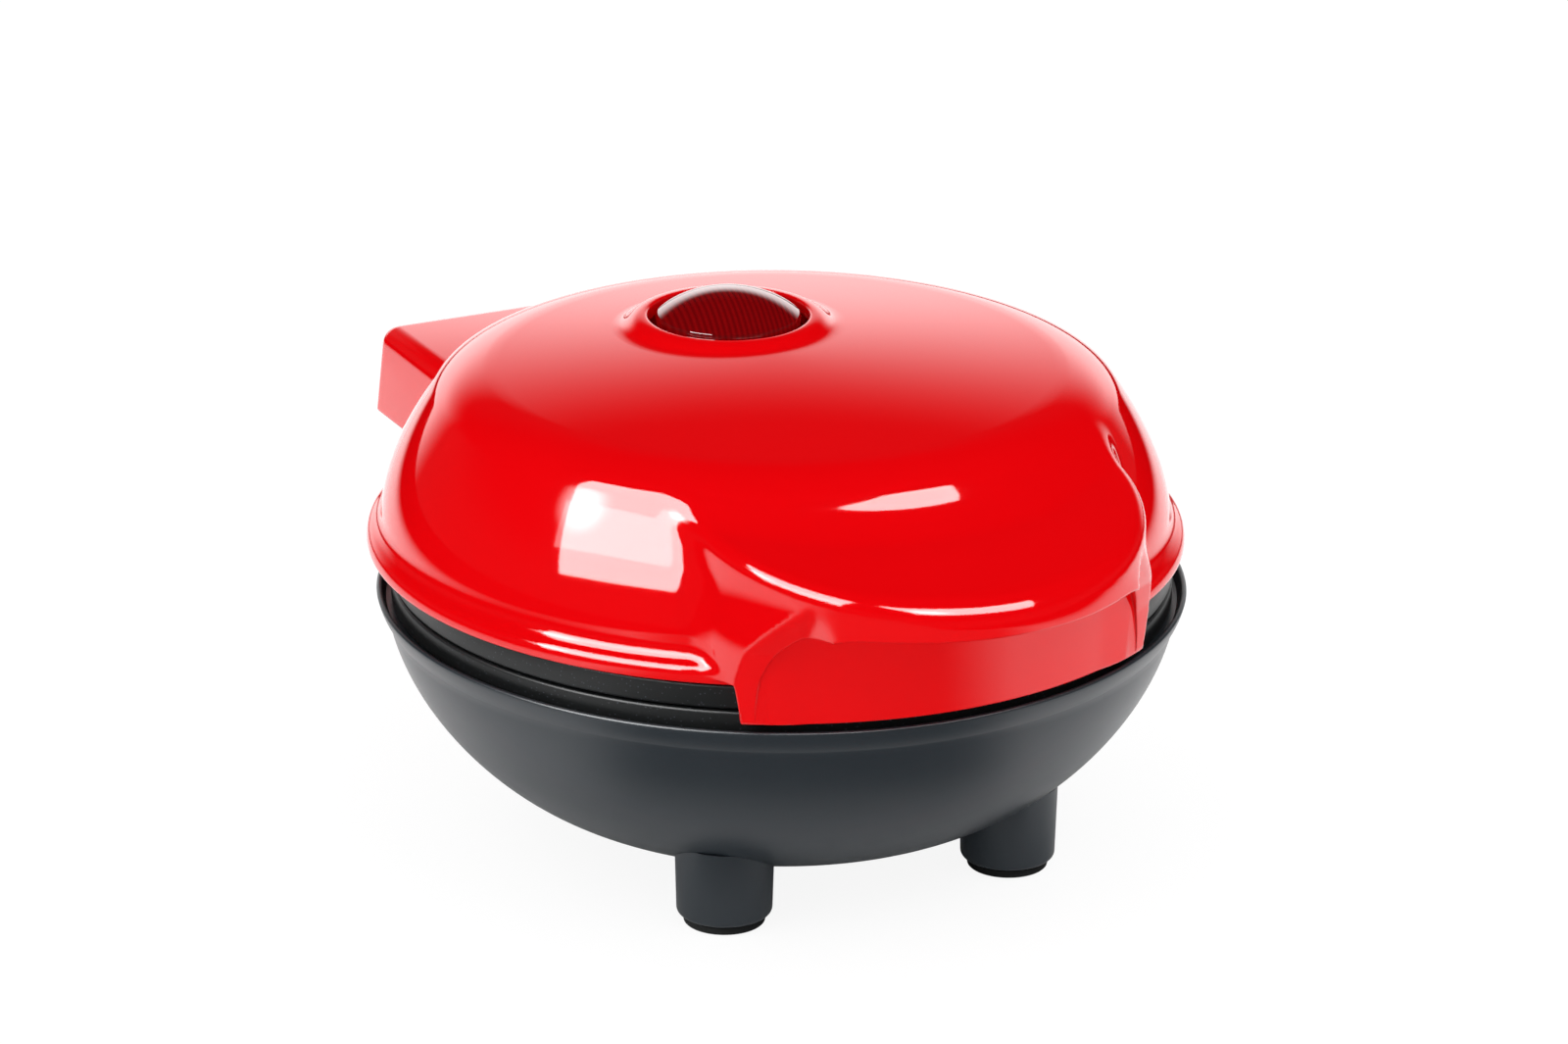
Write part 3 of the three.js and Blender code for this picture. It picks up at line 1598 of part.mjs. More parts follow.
place( 'hinge_loom', hingeLoom(), 'wireSleeve' );

place( 'lid_shell', lidShell(), 'redGloss' );
place( 'indicator_lens', indicatorLens(), 'redLens' );
place( 'lens_ring', lensRing(), 'blackPlastic' );
lensBossPlaces().forEach( ( at, i ) => place( `lens_screw_${ i + 1 }`, lensScrew( at ), 'steel' ) );
place( 'lamp_holder', lampHolder(), 'whitePlastic' );
place( 'neon_lamp', neonLamp(), 'lampGlass' );
place( 'lid_frame', lidFrame(), 'steel' );
sideNames.forEach( ( [ name, side ] ) => place( `lid_screw_${ name }`, lidScrew( side ), 'steel' ) );
const upperPlate = geometryOf( cookingPlate( plateUnderside - upperBossLength, false ) );
place( 'upper_plate', turnedOver( upperPlate ), 'nonStick' );
legPlaces.forEach( ( at, i ) => place( `upper_plate_screw_${ cornerNames[ i ] }`, upperPlateScrew( at ), 'steel' ) );
place( 'upper_element', turnedOver( heatingElement( upperElementTail ) ), 'elementSteel' );
place( 'upper_shield', turnedOver( geometryOf( heatShield() ) ), 'steel' );
shieldScrewPlaces().forEach( ( at, i ) => {

	place( `upper_shield_screw_${ i + 1 }`, turnedOver( shieldScrew( at ) ), 'steel' );

} );
sideNames.forEach( ( [ name, side ] ) => place( `lid_lead_${ name }`, lidLead( side ), 'wireRed' ) );
sideNames.forEach( ( [ name, side ] ) => place( `lamp_lead_${ name }`, lampLead( side ), 'wireRed' ) );

export default group;
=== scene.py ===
"""Looks of the mini waffle maker: smooth moulded shells, coated plates, rubber pads and studio light.

Every piece is built in millimetres about the bowl's axis, with its feet on z = 0, and is then placed
in the row frame in metres, where the CAD nodes already are.
"""

from __future__ import annotations

import json
import logging
import math
from dataclasses import dataclass, field
from enum import Enum

import bmesh
import bpy
import numpy as np
from mathutils import Matrix, Quaternion, Vector

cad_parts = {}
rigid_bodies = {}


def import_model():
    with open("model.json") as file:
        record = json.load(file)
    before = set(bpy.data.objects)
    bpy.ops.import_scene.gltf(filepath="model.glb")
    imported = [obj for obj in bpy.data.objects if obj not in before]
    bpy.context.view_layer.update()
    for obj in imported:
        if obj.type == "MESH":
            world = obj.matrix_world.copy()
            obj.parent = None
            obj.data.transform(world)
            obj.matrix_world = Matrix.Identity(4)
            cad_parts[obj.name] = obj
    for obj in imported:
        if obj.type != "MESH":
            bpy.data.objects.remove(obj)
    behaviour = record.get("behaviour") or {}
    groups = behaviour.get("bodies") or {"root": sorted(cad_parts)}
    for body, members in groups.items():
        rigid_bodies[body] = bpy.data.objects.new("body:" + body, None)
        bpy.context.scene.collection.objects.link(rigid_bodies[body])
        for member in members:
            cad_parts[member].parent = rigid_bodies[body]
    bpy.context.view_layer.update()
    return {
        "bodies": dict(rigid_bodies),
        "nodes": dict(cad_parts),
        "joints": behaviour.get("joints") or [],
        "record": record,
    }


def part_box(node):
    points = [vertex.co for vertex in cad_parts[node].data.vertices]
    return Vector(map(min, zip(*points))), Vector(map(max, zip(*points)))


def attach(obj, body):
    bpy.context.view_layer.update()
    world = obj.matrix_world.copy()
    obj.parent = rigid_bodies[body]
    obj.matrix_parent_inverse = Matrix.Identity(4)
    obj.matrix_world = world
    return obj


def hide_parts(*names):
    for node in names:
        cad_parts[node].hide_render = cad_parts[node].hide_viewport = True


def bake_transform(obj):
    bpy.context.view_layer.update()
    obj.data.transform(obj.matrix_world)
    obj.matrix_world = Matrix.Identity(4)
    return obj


LOG = logging.getLogger("waffle_maker")
MM = 0.001
TURN = 2 * math.pi

Pair = tuple[float, float]
Triple = tuple[float, float, float]
Tree = bpy.types.NodeTree
Socket = bpy.types.NodeSocket
Value = float | tuple[float, ...] | Socket

# Distance of the hinge's axis behind the bowl's, and its height, in millimetres
HINGE: Pair = (73.0, 49.5)

# How the finishes' patterns are drawn
CLOUD_PER_MM = 0.06
CLOUD_DETAIL = 4.0
GRAIN_DETAIL = 3.0
SPECK_EDGE: Pair = (0.1, 0.2)
RIB_TURN = 12.0
BRAID_DISTORTION = 1.5
BRUSH_STRETCH = 0.06
EDGE_SAMPLES = 6


class Body(Enum):
    """The rigid bodies of the part."""

    BASE = "base"
    LID = "lid"


class Duty(Enum):
    """What a lamp is for."""

    FILL = "fill"
    GLINT = "glint"


class Grain(Enum):
    """How the surface detail of a finish runs."""

    FINE = "fine"
    BRUSHED = "brushed"
    SPECKLED = "speckled"
    RIBBED = "ribbed"
    BRAIDED = "braided"


@dataclass(frozen=True)
class Finish:
    """A procedural finish.

    Args:
        name: the material's name.
        color: linear base colour.
        roughness: mean roughness.
        metallic: 0 or 1.
        gloss: how strongly it mirrors, 0.5 being usual for plastic.
        grain: the kind of surface detail.
        grain_size: size of the detail, in millimetres.
        variation: share by which colour and roughness vary.
        relief: height of the surface detail, in millimetres.
        speck_and_rib_light_color: colour of speckles; on ribs, the painted light of their lit side.
        transmission: share of light that passes through.
        edge: radius by which sharp edges look rounded, in millimetres.
    """

    name: str
    color: Triple
    roughness: float
    metallic: float = 0.0
    gloss: float = 0.5
    grain: Grain = Grain.FINE
    grain_size: float = 1.0
    variation: float = 0.06
    relief: float = 0.004
    speck_and_rib_light_color: Triple = (0.3, 0.3, 0.3)
    transmission: float = 0.0
    edge: float = 0.0

    def material(self) -> bpy.types.Material:
        """Builds the node material.

        Returns:
            The new material.
        """
        made = bpy.data.materials.new(self.name)
        made.use_nodes = True
        tree = made.node_tree
        shader = tree.nodes["Principled BSDF"]
        shader.inputs["Metallic"].default_value = self.metallic
        shader.inputs["Specular IOR Level"].default_value = self.gloss
        shader.inputs["Transmission Weight"].default_value = self.transmission
        place = tree.nodes.new("ShaderNodeTexCoord").outputs["Object"]
        pattern = self._pattern(tree, place)
        noise = added(tree, "TexNoise", {"Vector": place, "Scale": CLOUD_PER_MM / MM, "Detail": CLOUD_DETAIL})
        cloud = noise.outputs["Fac"]
        self._colour(tree, shader, pattern, cloud)
        rough = added(tree, "MapRange", {
            "Value": cloud,
            "To Min": self.roughness * (1 - 2 * self.variation),
            "To Max": self.roughness * (1 + 2 * self.variation),
        })
        tree.links.new(rough.outputs["Result"], shader.inputs["Roughness"])
        bump = added(tree, "Bump", {"Height": pattern, "Distance": self.relief * MM})
        if self.edge:
            rounded = added(tree, "Bevel", {"Radius": self.edge * MM}, samples=EDGE_SAMPLES)
            tree.links.new(rounded.outputs["Normal"], bump.inputs["Normal"])
        tree.links.new(bump.outputs["Normal"], shader.inputs["Normal"])
        return made

    def _pattern(self, tree: Tree, vector: Socket) -> Socket:
        """Adds the nodes of the surface detail.

        Args:
            tree: the material's node tree.
            vector: object coordinates.

        Returns:
            The socket that carries the detail from 0 to 1.
        """
        scale = 1 / (self.grain_size * MM)
        if self.grain is Grain.SPECKLED:
            cells = added(tree, "TexVoronoi", {"Vector": vector, "Scale": scale})
            low, high = SPECK_EDGE
            inputs = {"Value": cells.outputs["Distance"], "From Min": low, "From Max": high}
            return added(tree, "MapRange", {**inputs, "To Min": 1.0, "To Max": 0.0}).outputs["Result"]
        turn = added(tree, "Mapping", {"Vector": vector})
        turned = turn.outputs["Vector"]
        if self.grain in (Grain.RIBBED, Grain.BRAIDED):
            turn.inputs["Rotation"].default_value = (0.0, 0.0, math.radians(RIB_TURN))
            distortion = 0.0 if self.grain is Grain.RIBBED else BRAID_DISTORTION
            inputs = {"Vector": turned, "Scale": scale / TURN * 2, "Distortion": distortion}
            return added(tree, "TexWave", inputs).outputs["Fac"]
        if self.grain is Grain.BRUSHED:
            turn.inputs["Scale"].default_value = (1.0, BRUSH_STRETCH, 1.0)
        inputs = {"Vector": turned, "Scale": scale, "Detail": GRAIN_DETAIL}
        return added(tree, "TexNoise", inputs).outputs["Fac"]

    def _colour(self, tree: Tree, shader: bpy.types.Node, pattern: Socket, cloud: Socket) -> None:
        """Links the base colour, varied by the cloud, by speckles, and by painted light on the ribs' lit
        side.

        Args:
            tree: the material's node tree.
            shader: the surface shader.
            pattern: the detail's socket.
            cloud: the slow variation's socket.
        """
        shades = added(tree, "Mix", {
            "A": (*[c * (1 - self.variation) for c in self.color], 1.0),
            "B": (*[c * (1 + self.variation) for c in self.color], 1.0),
            "Factor": cloud,
        }, data_type="RGBA")
        last = shades.outputs["Result"]
        # Speckles are the coating's own colour; on ribs this mix paints their lit side lighter, as painted
        # light.
        if self.grain in (Grain.SPECKLED, Grain.RIBBED):
            inputs = {"A": last, "B": (*self.speck_and_rib_light_color, 1.0), "Factor": pattern}
            last = added(tree, "Mix", inputs, data_type="RGBA").outputs["Result"]
        tree.links.new(last, shader.inputs["Base Color"])


RED_GLOSS = Finish(
    "lid_red", (0.84, 0.001, 0.003), 0.045, grain_size=2.5, variation=0.02, relief=0.0004, edge=0.5,
)
BOWL_SATIN = Finish("bowl_satin", (0.02, 0.027, 0.034), 0.33, gloss=0.42, grain_size=0.5, relief=0.003)
# The legs' colour is darker than the bowl's shell: painted shade for their place under the bowl.
LEG_GLOSS = Finish("leg_gloss", (0.006, 0.011, 0.0115), 0.2, gloss=0.32, grain_size=0.6, relief=0.002)
RUBBER = Finish("black_rubber", (0.008, 0.009, 0.009), 0.7, gloss=0.2, grain_size=0.4, relief=0.02)
PLATE = Finish(
    "plate_coating", (0.008, 0.0095, 0.01), 0.4, gloss=0.3, grain=Grain.SPECKLED, grain_size=0.7,
    relief=0.006, speck_and_rib_light_color=(0.05, 0.056, 0.07),
)
STEEL = Finish("plain_steel", (0.55, 0.56, 0.57), 0.32, metallic=1.0, grain=Grain.BRUSHED, grain_size=0.5)
ELEMENT = Finish("element_steel", (0.16, 0.14, 0.13), 0.5, metallic=1.0, grain_size=0.7, variation=0.15)
INSULATOR = Finish("white_insulator", (0.7, 0.67, 0.6), 0.55, grain_size=0.6)
BLACK_PLASTIC = Finish("black_plastic", (0.02, 0.02, 0.022), 0.45, grain_size=0.6)
# The lens's lighter rib stripes are painted light, not a colour of the plastic.
LENS_RED = Finish(
    "lens_red", (0.15, 0.001, 0.002), 0.04, gloss=0.9, grain=Grain.RIBBED, grain_size=0.9,
    relief=0.002, speck_and_rib_light_color=(0.24, 0.002, 0.003),
)
LAMP = Finish("lamp_glass", (0.9, 0.55, 0.35), 0.1, grain_size=1.5, transmission=0.6)
LEAD_RED = Finish("lead_red", (0.4, 0.05, 0.03), 0.5, grain_size=0.8)
LEAD_GREY = Finish("lead_grey", (0.4, 0.38, 0.34), 0.5, grain_size=0.8)
SLEEVE = Finish("loom_sleeve", (0.48, 0.45, 0.38), 0.8, grain=Grain.BRAIDED, grain_size=0.5, relief=0.08)

SLOT_FINISHES = {
    "bowl_grey": BOWL_SATIN,
    "lid_red": RED_GLOSS,
    "lens_red": LENS_RED,
    "black_rubber": RUBBER,
    "plate_nonstick": PLATE,
    "element_steel": ELEMENT,
    "white_insulator": INSULATOR,
    "black_plastic": BLACK_PLASTIC,
    "lamp_glass": LAMP,
    "loom_sleeve": SLEEVE,
    "grey_lead": LEAD_GREY,
    "red_lead": LEAD_RED,
    "plain_steel": STEEL,
}


def added(tree: Tree, kind: str, inputs: dict[str | int, Value], **settings: str | int) -> bpy.types.Node:
    """Adds a shader node and fills its inputs.

    Args:
        tree: the node tree.
        kind: the kind of node.
        inputs: for each input, a number or colour to set or a socket to link.
        **settings: the node's own settings, made before its inputs are filled.

    Returns:
        The node.
    """
    made = tree.nodes.new(f"ShaderNode{kind}")
    for name, setting in settings.items():
        setattr(made, name, setting)
    for name, value in inputs.items():
        if isinstance(value, Socket):
            tree.links.new(value, made.inputs[name])
        else:
            made.inputs[name].default_value = value
    return made


def linked_ramp(tree: Tree, value: Socket, span: Pair, first: float, last: float) -> Socket:
    """Maps a value on to a soft ramp.

    Args:
        tree: the node tree.
        value: the value's socket.
        span: where the ramp starts and ends.
        first: result at the start.
        last: result at the end.

    Returns:
        The result's socket.
    """
    inputs = {"Value": value, "From Min": span[0], "From Max": span[1], "To Min": first, "To Max": last}
    return added(tree, "MapRange", inputs, interpolation_type="SMOOTHSTEP").outputs["Result"]


def linked_math(tree: Tree, operation: str, first: Socket, second: Socket | float) -> Socket:
    """Works one value out from two.

    Args:
        tree: the node tree.
        operation: the node's operation.
        first: the first value's socket.
        second: the second value's socket, or a number.

    Returns:
        The result's socket.
    """
    return added(tree, "Math", {0: first, 1: second}, operation=operation).outputs["Value"]


def linked_dot(tree: Tree, vector: Socket, direction: Triple) -> Socket:
    """Measures how far a vector reaches along a direction.

    Args:
        tree: the node tree.
        vector: the vector's socket.
        direction: the direction.

    Returns:
        The result's socket.
    """
    return added(tree, "VectorMath", {0: vector, 1: direction}, operation="DOT_PRODUCT").outputs["Value"]


def placed(name: str, data: bpy.types.ID) -> bpy.types.Object:
    """Adds an object to the scene.

    Args:
        name: its name.
        data: its mesh, curve, lamp or camera data.

    Returns:
        The object.
    """
    made = bpy.data.objects.new(name, data)
    bpy.context.scene.collection.objects.link(made)
    return made


def heading(azimuth: float, elevation: float) -> Vector:
    """Gives the direction that lies at an azimuth and an elevation.

    Args:
        azimuth: degrees from the front towards +X.
        elevation: degrees above the horizon.

    Returns:
        The direction, of length 1.
    """
    a, e = math.radians(azimuth), math.radians(elevation)
    return Vector((math.sin(a) * math.cos(e), -math.cos(a) * math.cos(e), math.sin(e)))


class Palette:
    """Makes each finish's material once."""

    def __init__(self) -> None:
        """Starts without any material."""
        self._made: dict[str, bpy.types.Material] = {}

    def get(self, finish: Finish) -> bpy.types.Material:
        """Returns the finish's material, built on first use.

        Args:
            finish: the finish.

        Returns:
            Its material.
        """
        if finish.name not in self._made:
            self._made[finish.name] = finish.material()
        return self._made[finish.name]


def bend(start: Pair, end: Pair, first: Pair, second: Pair, steps: int) -> list[Pair]:
    """Samples a cubic curve between two outline places.

    Args:
        start: first place, (radius, height).
        end: last place.
        first: first handle, as shares of the step from start to end.
        second: second handle, as shares.
        steps: number of steps.

    Returns:
        The places, both ends included.
    """
    a, d = np.array(start), np.array(end)
    b, c = a + (d - a) * np.array(first), a + (d - a) * np.array(second)
    t = np.linspace(0, 1, steps + 1)[:, None]
    places = (1 - t) ** 3 * a + 3 * (1 - t) ** 2 * t * b + 3 * (1 - t) * t**2 * c + t**3 * d
    return [(float(x), float(z)) for x, z in places]


def rounding(centre: Pair, radius: float, start: float, end: float, steps: int) -> list[Pair]:
    """Samples an arc of an outline.

    Args:
        centre: centre of the arc.
        radius: its radius.
        start: first angle in degrees.
        end: last angle in degrees.
        steps: number of steps.

    Returns:
        The places, both ends included.
    """
    angles = np.radians(np.linspace(start, end, steps + 1))
    return [(centre[0] + radius * math.cos(a), centre[1] + radius * math.sin(a)) for a in angles]


def smooth_step(value: np.ndarray | float, low: float, high: float) -> np.ndarray:
    """Rises smoothly from 0 at low to 1 at high.

    Args:
        value: where to read it.
        low: start of the rise.
        high: end of the rise.

    Returns:
        The share.
    """
    t = np.clip((np.asarray(value, float) - low) / (high - low), 0, 1)
    return t * t * (3 - 2 * t)


def outline_edges(bm: bmesh.types.BMesh, places: list[Triple], closed: bool) -> list[bmesh.types.BMEdge]:
    """Adds a chain of edges.

    Args:
        bm: the mesh to add to.
        places: the chain's places.
        closed: whether the last place joins the first.

    Returns:
        The new edges.
    """
    verts = [bm.verts.new(p) for p in places]
    pairs = list(zip(verts, verts[1:]))
    if closed:
        pairs.append((verts[-1], verts[0]))
    return [bm.edges.new(pair) for pair in pairs]


def spun(outline: list[Pair], steps: int, closed: bool = False) -> bmesh.types.BMesh:
    """Spins an outline of (radius, height) places about the Z axis.

    Args:
        outline: the outline.
        steps: number of steps round.
        closed: whether the outline closes on itself.

    Returns:
        The spun mesh.
    """
    bm = bmesh.new()
    edges = outline_edges(bm, [(r, 0.0, z) for r, z in outline], closed)
    bmesh.ops.spin(
        bm, geom=[*bm.verts, *edges], axis=(0, 0, 1), cent=(0, 0, 0), dvec=(0, 0, 0),
        angle=TURN, steps=steps, use_merge=True, use_duplicate=False,
    )
    bmesh.ops.remove_doubles(bm, verts=bm.verts, dist=1e-4)
    bmesh.ops.recalc_face_normals(bm, faces=bm.faces)
    return bm


def side_plate(outline: list[Pair], low: float, high: float, edge: float = 0.4) -> bmesh.types.BMesh:
    """Pushes a side view in (y, z) out along X, with softened edges.

    Args:
        outline: the side view.
        low: first X.
        high: last X.
        edge: width of the bevel.

    Returns:
        The mesh.
    """
    bm = bmesh.new()
    face = bm.faces.new([bm.verts.new((low, y, z)) for y, z in outline])
    made = bmesh.ops.extrude_face_region(bm, geom=[face])
    raised = [v for v in made["geom"] if isinstance(v, bmesh.types.BMVert)]
    bmesh.ops.translate(bm, verts=raised, vec=(high - low, 0, 0))
    bmesh.ops.recalc_face_normals(bm, faces=bm.faces)
    soften(bm, [e for e in bm.edges if e.calc_face_angle(0) > math.radians(60)], edge, 2)
    return bm


def soften(bm: bmesh.types.BMesh, edges: list[bmesh.types.BMEdge], width: float, segments: int) -> None:
    """Rounds the given edges.

    Args:
        bm: the mesh.
        edges: the edges to round.
        width: how far the rounding reaches.
        segments: number of segments.
    """
    bmesh.ops.bevel(
        bm, geom=edges, offset=width, segments=segments, profile=0.5, affect="EDGES",
        clamp_overlap=True, material=-1,
    )


def block(low: Triple, high: Triple) -> bmesh.types.BMesh:
    """Makes a box between two corners.

    Args:
        low: lowest corner.
        high: highest corner.

    Returns:
        The mesh.
    """
    bm = bmesh.new()
    bmesh.ops.create_cube(bm, size=1.0)
    size = Vector(high) - Vector(low)
    bmesh.ops.scale(bm, vec=size, verts=bm.verts)
    bmesh.ops.translate(bm, vec=(Vector(low) + Vector(high)) / 2, verts=bm.verts)
    return bm


def moved(bm: bmesh.types.BMesh, offset: Triple) -> bmesh.types.BMesh:
    """Moves a whole mesh.

    Args:
        bm: the mesh.
        offset: how far.

    Returns:
        The same mesh.
    """
    bmesh.ops.translate(bm, vec=offset, verts=bm.verts)
    return bm


def gathered(parts: list[bmesh.types.BMesh], slots: list[int] | None = None) -> bmesh.types.BMesh:
    """Puts several meshes into one and frees them.

    Args:
        parts: the meshes.
        slots: material index of each mesh.

    Returns:
        One mesh.
    """
    whole = bmesh.new()
    for index, part in enumerate(parts):
        if slots:
            for face in part.faces:
                face.material_index = slots[index]
        held = bpy.data.meshes.new("held")
        part.to_mesh(held)
        part.free()
        whole.from_mesh(held)
        bpy.data.meshes.remove(held)
    return whole


class Workshop:
    """Turns finished meshes into placed pieces of the object."""

    def __init__(self, palette: Palette) -> None:
        """Keeps the palette and finds the bowl's axis.

        Args:
            palette: the palette.
        """
        low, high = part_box("lower_plate")
        self.axis_y = (low.y + high.y) / 2
        self.palette = palette

    def mesh(self, bm: bmesh.types.BMesh, name: str) -> bpy.types.Object:
        """Makes an object from a mesh in millimetres about the bowl's axis.

        Args:
            bm: the mesh, freed here.
            name: name of the object.

        Returns:
            The object, in the row frame in metres.
        """
        bmesh.ops.scale(bm, vec=(MM, MM, MM), verts=bm.verts)
        bmesh.ops.translate(bm, vec=(0, self.axis_y, 0), verts=bm.verts)
        data = bpy.data.meshes.new(name)
        bm.to_mesh(data)
        bm.free()
        return placed(name, data)

    def combine(self, target: bpy.types.Object, tool: bpy.types.Object, operation: str) -> None:
        """Joins or cuts one object with another, which is then removed.

        Args:
            target: the object that changes.
            tool: the other one.
            operation: UNION or DIFFERENCE.
        """
        step = target.modifiers.new("step", "BOOLEAN")
        step.operation = operation
        step.solver = "EXACT"
        step.object = tool
        bpy.context.view_layer.update()
        graph = bpy.context.evaluated_depsgraph_get()
        made = bpy.data.meshes.new_from_object(target.evaluated_get(graph))
        target.modifiers.clear()
        old = target.data
        name = old.name
        target.data = made
        bpy.data.meshes.remove(old)
        made.name = name
        bpy.data.objects.remove(tool)

    def piece(
        self,
        made: bpy.types.Object,
        body: Body | None,
        finishes: list[Finish],
        nodes: list[str],
        crease: float = 32.0,
    ) -> bpy.types.Object:
        """Gives a piece its finish and its place in the assembly.

        Args:
            made: the object.
            body: the body that it rides on, or None for a piece that lies between bodies and rides on
                neither.
            finishes: its finishes, by material index.
            nodes: CAD nodes that it stands for.
            crease: faces meeting at more than this angle, in degrees, meet at a sharp edge.

        Returns:
            The same object.
        """
        made.data.materials.clear()
        for finish in finishes:
            made.data.materials.append(self.palette.get(finish))
        made.data.shade_smooth()
        made.data.set_sharp_from_angle(angle=math.radians(crease))
        if body is not None:
            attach(made, body.value)
        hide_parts(*nodes)
        LOG.info("%s: %d faces", made.name, len(made.data.polygons))
        return made


@dataclass
class BowlSize:
    """Sizes of the bowl, in millimetres."""

    # Shell, its places being (radius, height)
    floor: float = 6.4
    wall: float = 2.2
    flat: float = 28.0
    rim: Pair = (62.6, 38.0)
    lip: Pair = (64.3, 42.0)
    lip_wall: float = 0.9
    ledge: float = 40.2
    seat: float = 62.8
    steps: int = 256
    # Legs and pads
    leg_x: float = 25.0
    leg_y: float = 30.8
    leg_foot: float = 7.5
    leg_top: float = 7.8
    leg_height: float = 14.0
    leg_low: float = 1.5
    leg_edge: float = 0.9
    leg_steps: int = 64
    pad_groove: tuple[Pair, ...] = ((4.6, 0.0), (4.9, 0.25), (5.3, 0.25), (5.6, 0.0))
    pad_radius: float = 6.4
    pad_edge: float = 0.35
    pad_gap: float = 0.3
    # Hinge arms, their places being (y, z)
    eye_radius: float = 5.2
    arm_foot: Pair = (59.0, 34.0)
    arm_root: tuple[Pair, Pair] = ((61.0, 42.0), (61.0, 38.0))
    arm_across: Pair = (19.5, 25.4)
    # Boss of the cord inlet
    inlet_x: float = -15.0
    inlet_z: float = 24.0
    inlet_bore: float = 5.0
    inlet_radius: float = 6.6
    inlet_edge: float = 0.5
    inlet_reach: Pair = (50.0, 58.5)
    inlet_steps: int = 48


class Bowl:
    """The base bowl with its legs, pads, hinge arms and inlet boss."""

    def __init__(self, size: BowlSize) -> None:
        """Keeps the bowl's sizes."""
        self.size = size

    def side(self, inset: float) -> list[Pair]:
        """The bowl's side, from the floor up.

        Args:
            inset: distance inside the outer skin.

        Returns:
            The outline.
        """
        s = self.size
        start, end = (s.flat, s.floor + inset), (s.rim[0] - inset, s.rim[1])
        return bend(start, end, (0.43, 0.0), (0.915, 0.515), 40)

    def shell(self) -> bmesh.types.BMesh:
        """Spins the bowl's shell.

        Returns:
            The mesh.
        """
        s = self.size
        lip, height = s.lip
        edge = s.lip_wall / 2
        flare = bend(s.rim, (lip, height - edge), (0.36, 0.22), (0.78, 0.55), 8)
        top = rounding((lip - edge, height - edge), edge, 0, 180, 6)
        inner = [(s.seat, s.ledge), (s.rim[0] - s.wall, s.ledge)]
        outline = [
            (0.0, s.floor), *self.side(0.0), *flare[1:], *top[1:], *inner,
            *reversed(self.side(s.wall)), (0.0, s.floor + s.wall),
        ]
        return spun(outline, s.steps)

    def leg(self, side_x: int, side_y: int) -> bmesh.types.BMesh:
        """Spins one leg.

        Args:
            side_x: 1 or -1.
            side_y: 1 or -1.

        Returns:
            The mesh.
        """
        s = self.size
        edge = s.leg_edge
        outline = [
            (0.0, s.leg_low), (s.leg_foot - edge, s.leg_low),
            *rounding((s.leg_foot - edge, s.leg_low + edge), edge, -60, 0, 4),
            (s.leg_top, s.leg_height), (0.0, s.leg_height),
        ]
        return moved(spun(outline, s.leg_steps), (side_x * s.leg_x, side_y * s.leg_y, 0))

    def pad(self, side_x: int, side_y: int) -> bmesh.types.BMesh:
        """Spins one foot pad.

        Args:
            side_x: 1 or -1.
            side_y: 1 or -1.

        Returns:
            The mesh.
        """
        s = self.size
        edge, top = s.pad_edge, s.leg_low - s.pad_gap
        outline = [
            (0.0, 0.0), *s.pad_groove, *rounding((s.pad_radius - edge, edge), edge, -90, 0, 3),
            (s.pad_radius, top), (0.0, top),
        ]
        return moved(spun(outline, s.leg_steps), (side_x * s.leg_x, side_y * s.leg_y, 0))

    def arm(self, side: int) -> bmesh.types.BMesh:
        """Makes one hinge arm behind the bowl.

        Args:
            side: 1 or -1.

        Returns:
            The mesh.
        """
        s = self.size
        eye = rounding(HINGE, s.eye_radius, -60, 140, 20)
        low, high = sorted(side * x for x in s.arm_across)
        return side_plate([s.arm_foot, *eye, *s.arm_root], low, high)

    def inlet(self) -> bmesh.types.BMesh:
        """Spins the boss of the cord inlet.

        Returns:
            The mesh.
        """
        s = self.size
        start, end = s.inlet_reach
        corner = (s.inlet_radius - s.inlet_edge, end - s.inlet_edge)
        edge = rounding(corner, s.inlet_edge, 0, 90, 3)
        outline = [(s.inlet_bore, start), (s.inlet_radius, start), *edge, (s.inlet_bore, end)]
        bm = spun(outline, s.inlet_steps, closed=True)
        bmesh.ops.rotate(bm, verts=bm.verts, cent=(0, 0, 0), matrix=Matrix.Rotation(-math.pi / 2, 3, "X"))
        return moved(bm, (s.inlet_x, 0, s.inlet_z))

    def build(self, shop: Workshop) -> None:
        """Builds the bowl and its pads.

        Args:
            shop: the workshop.
        """
        corners = {"front_right": (1, -1), "front_left": (-1, -1), "back_left": (-1, 1), "back_right": (1, 1)}
        legs = [self.leg(*at) for at in corners.values()]
        parts = [self.shell(), self.arm(1), self.arm(-1), self.inlet(), *legs]
        # Slot 1 gives the legs their darker colour, painted shade under the bowl.
        whole = gathered(parts, [0, 0, 0, 0, 1, 1, 1, 1])
        made = shop.mesh(whole, "bowl_shell")
        shop.piece(made, Body.BASE, [BOWL_SATIN, LEG_GLOSS], ["base_bowl"])
        for name, at in corners.items():
            pad = shop.mesh(self.pad(*at), f"pad_{name}")
            shop.piece(pad, Body.BASE, [RUBBER], [f"foot_pad_{name}"])


@dataclass
class PlateSize:
    """Sizes of a cooking plate, in millimetres."""

    seam: float = 44.5
    gap: float = 0.4
    radius: float = 62.0
    rim: float = 3.8
    body: float = 54.6
    cook: float = 50.0
    draft: float = 1.5
    depth: float = 9.0
    thickness: float = 3.0
    edge: float = 0.45
    cook_edge: float = 1.5
    body_edge: float = 2.4
    steps: int = 224
    pitch: float = 14.4
    foot: float = 9.4
    tip: float = 6.4
    stud: float = 6.5
    stud_root: float = 0.5
    stud_edge: float = 0.9
    reach: float = 43.0
    rows: int = 6


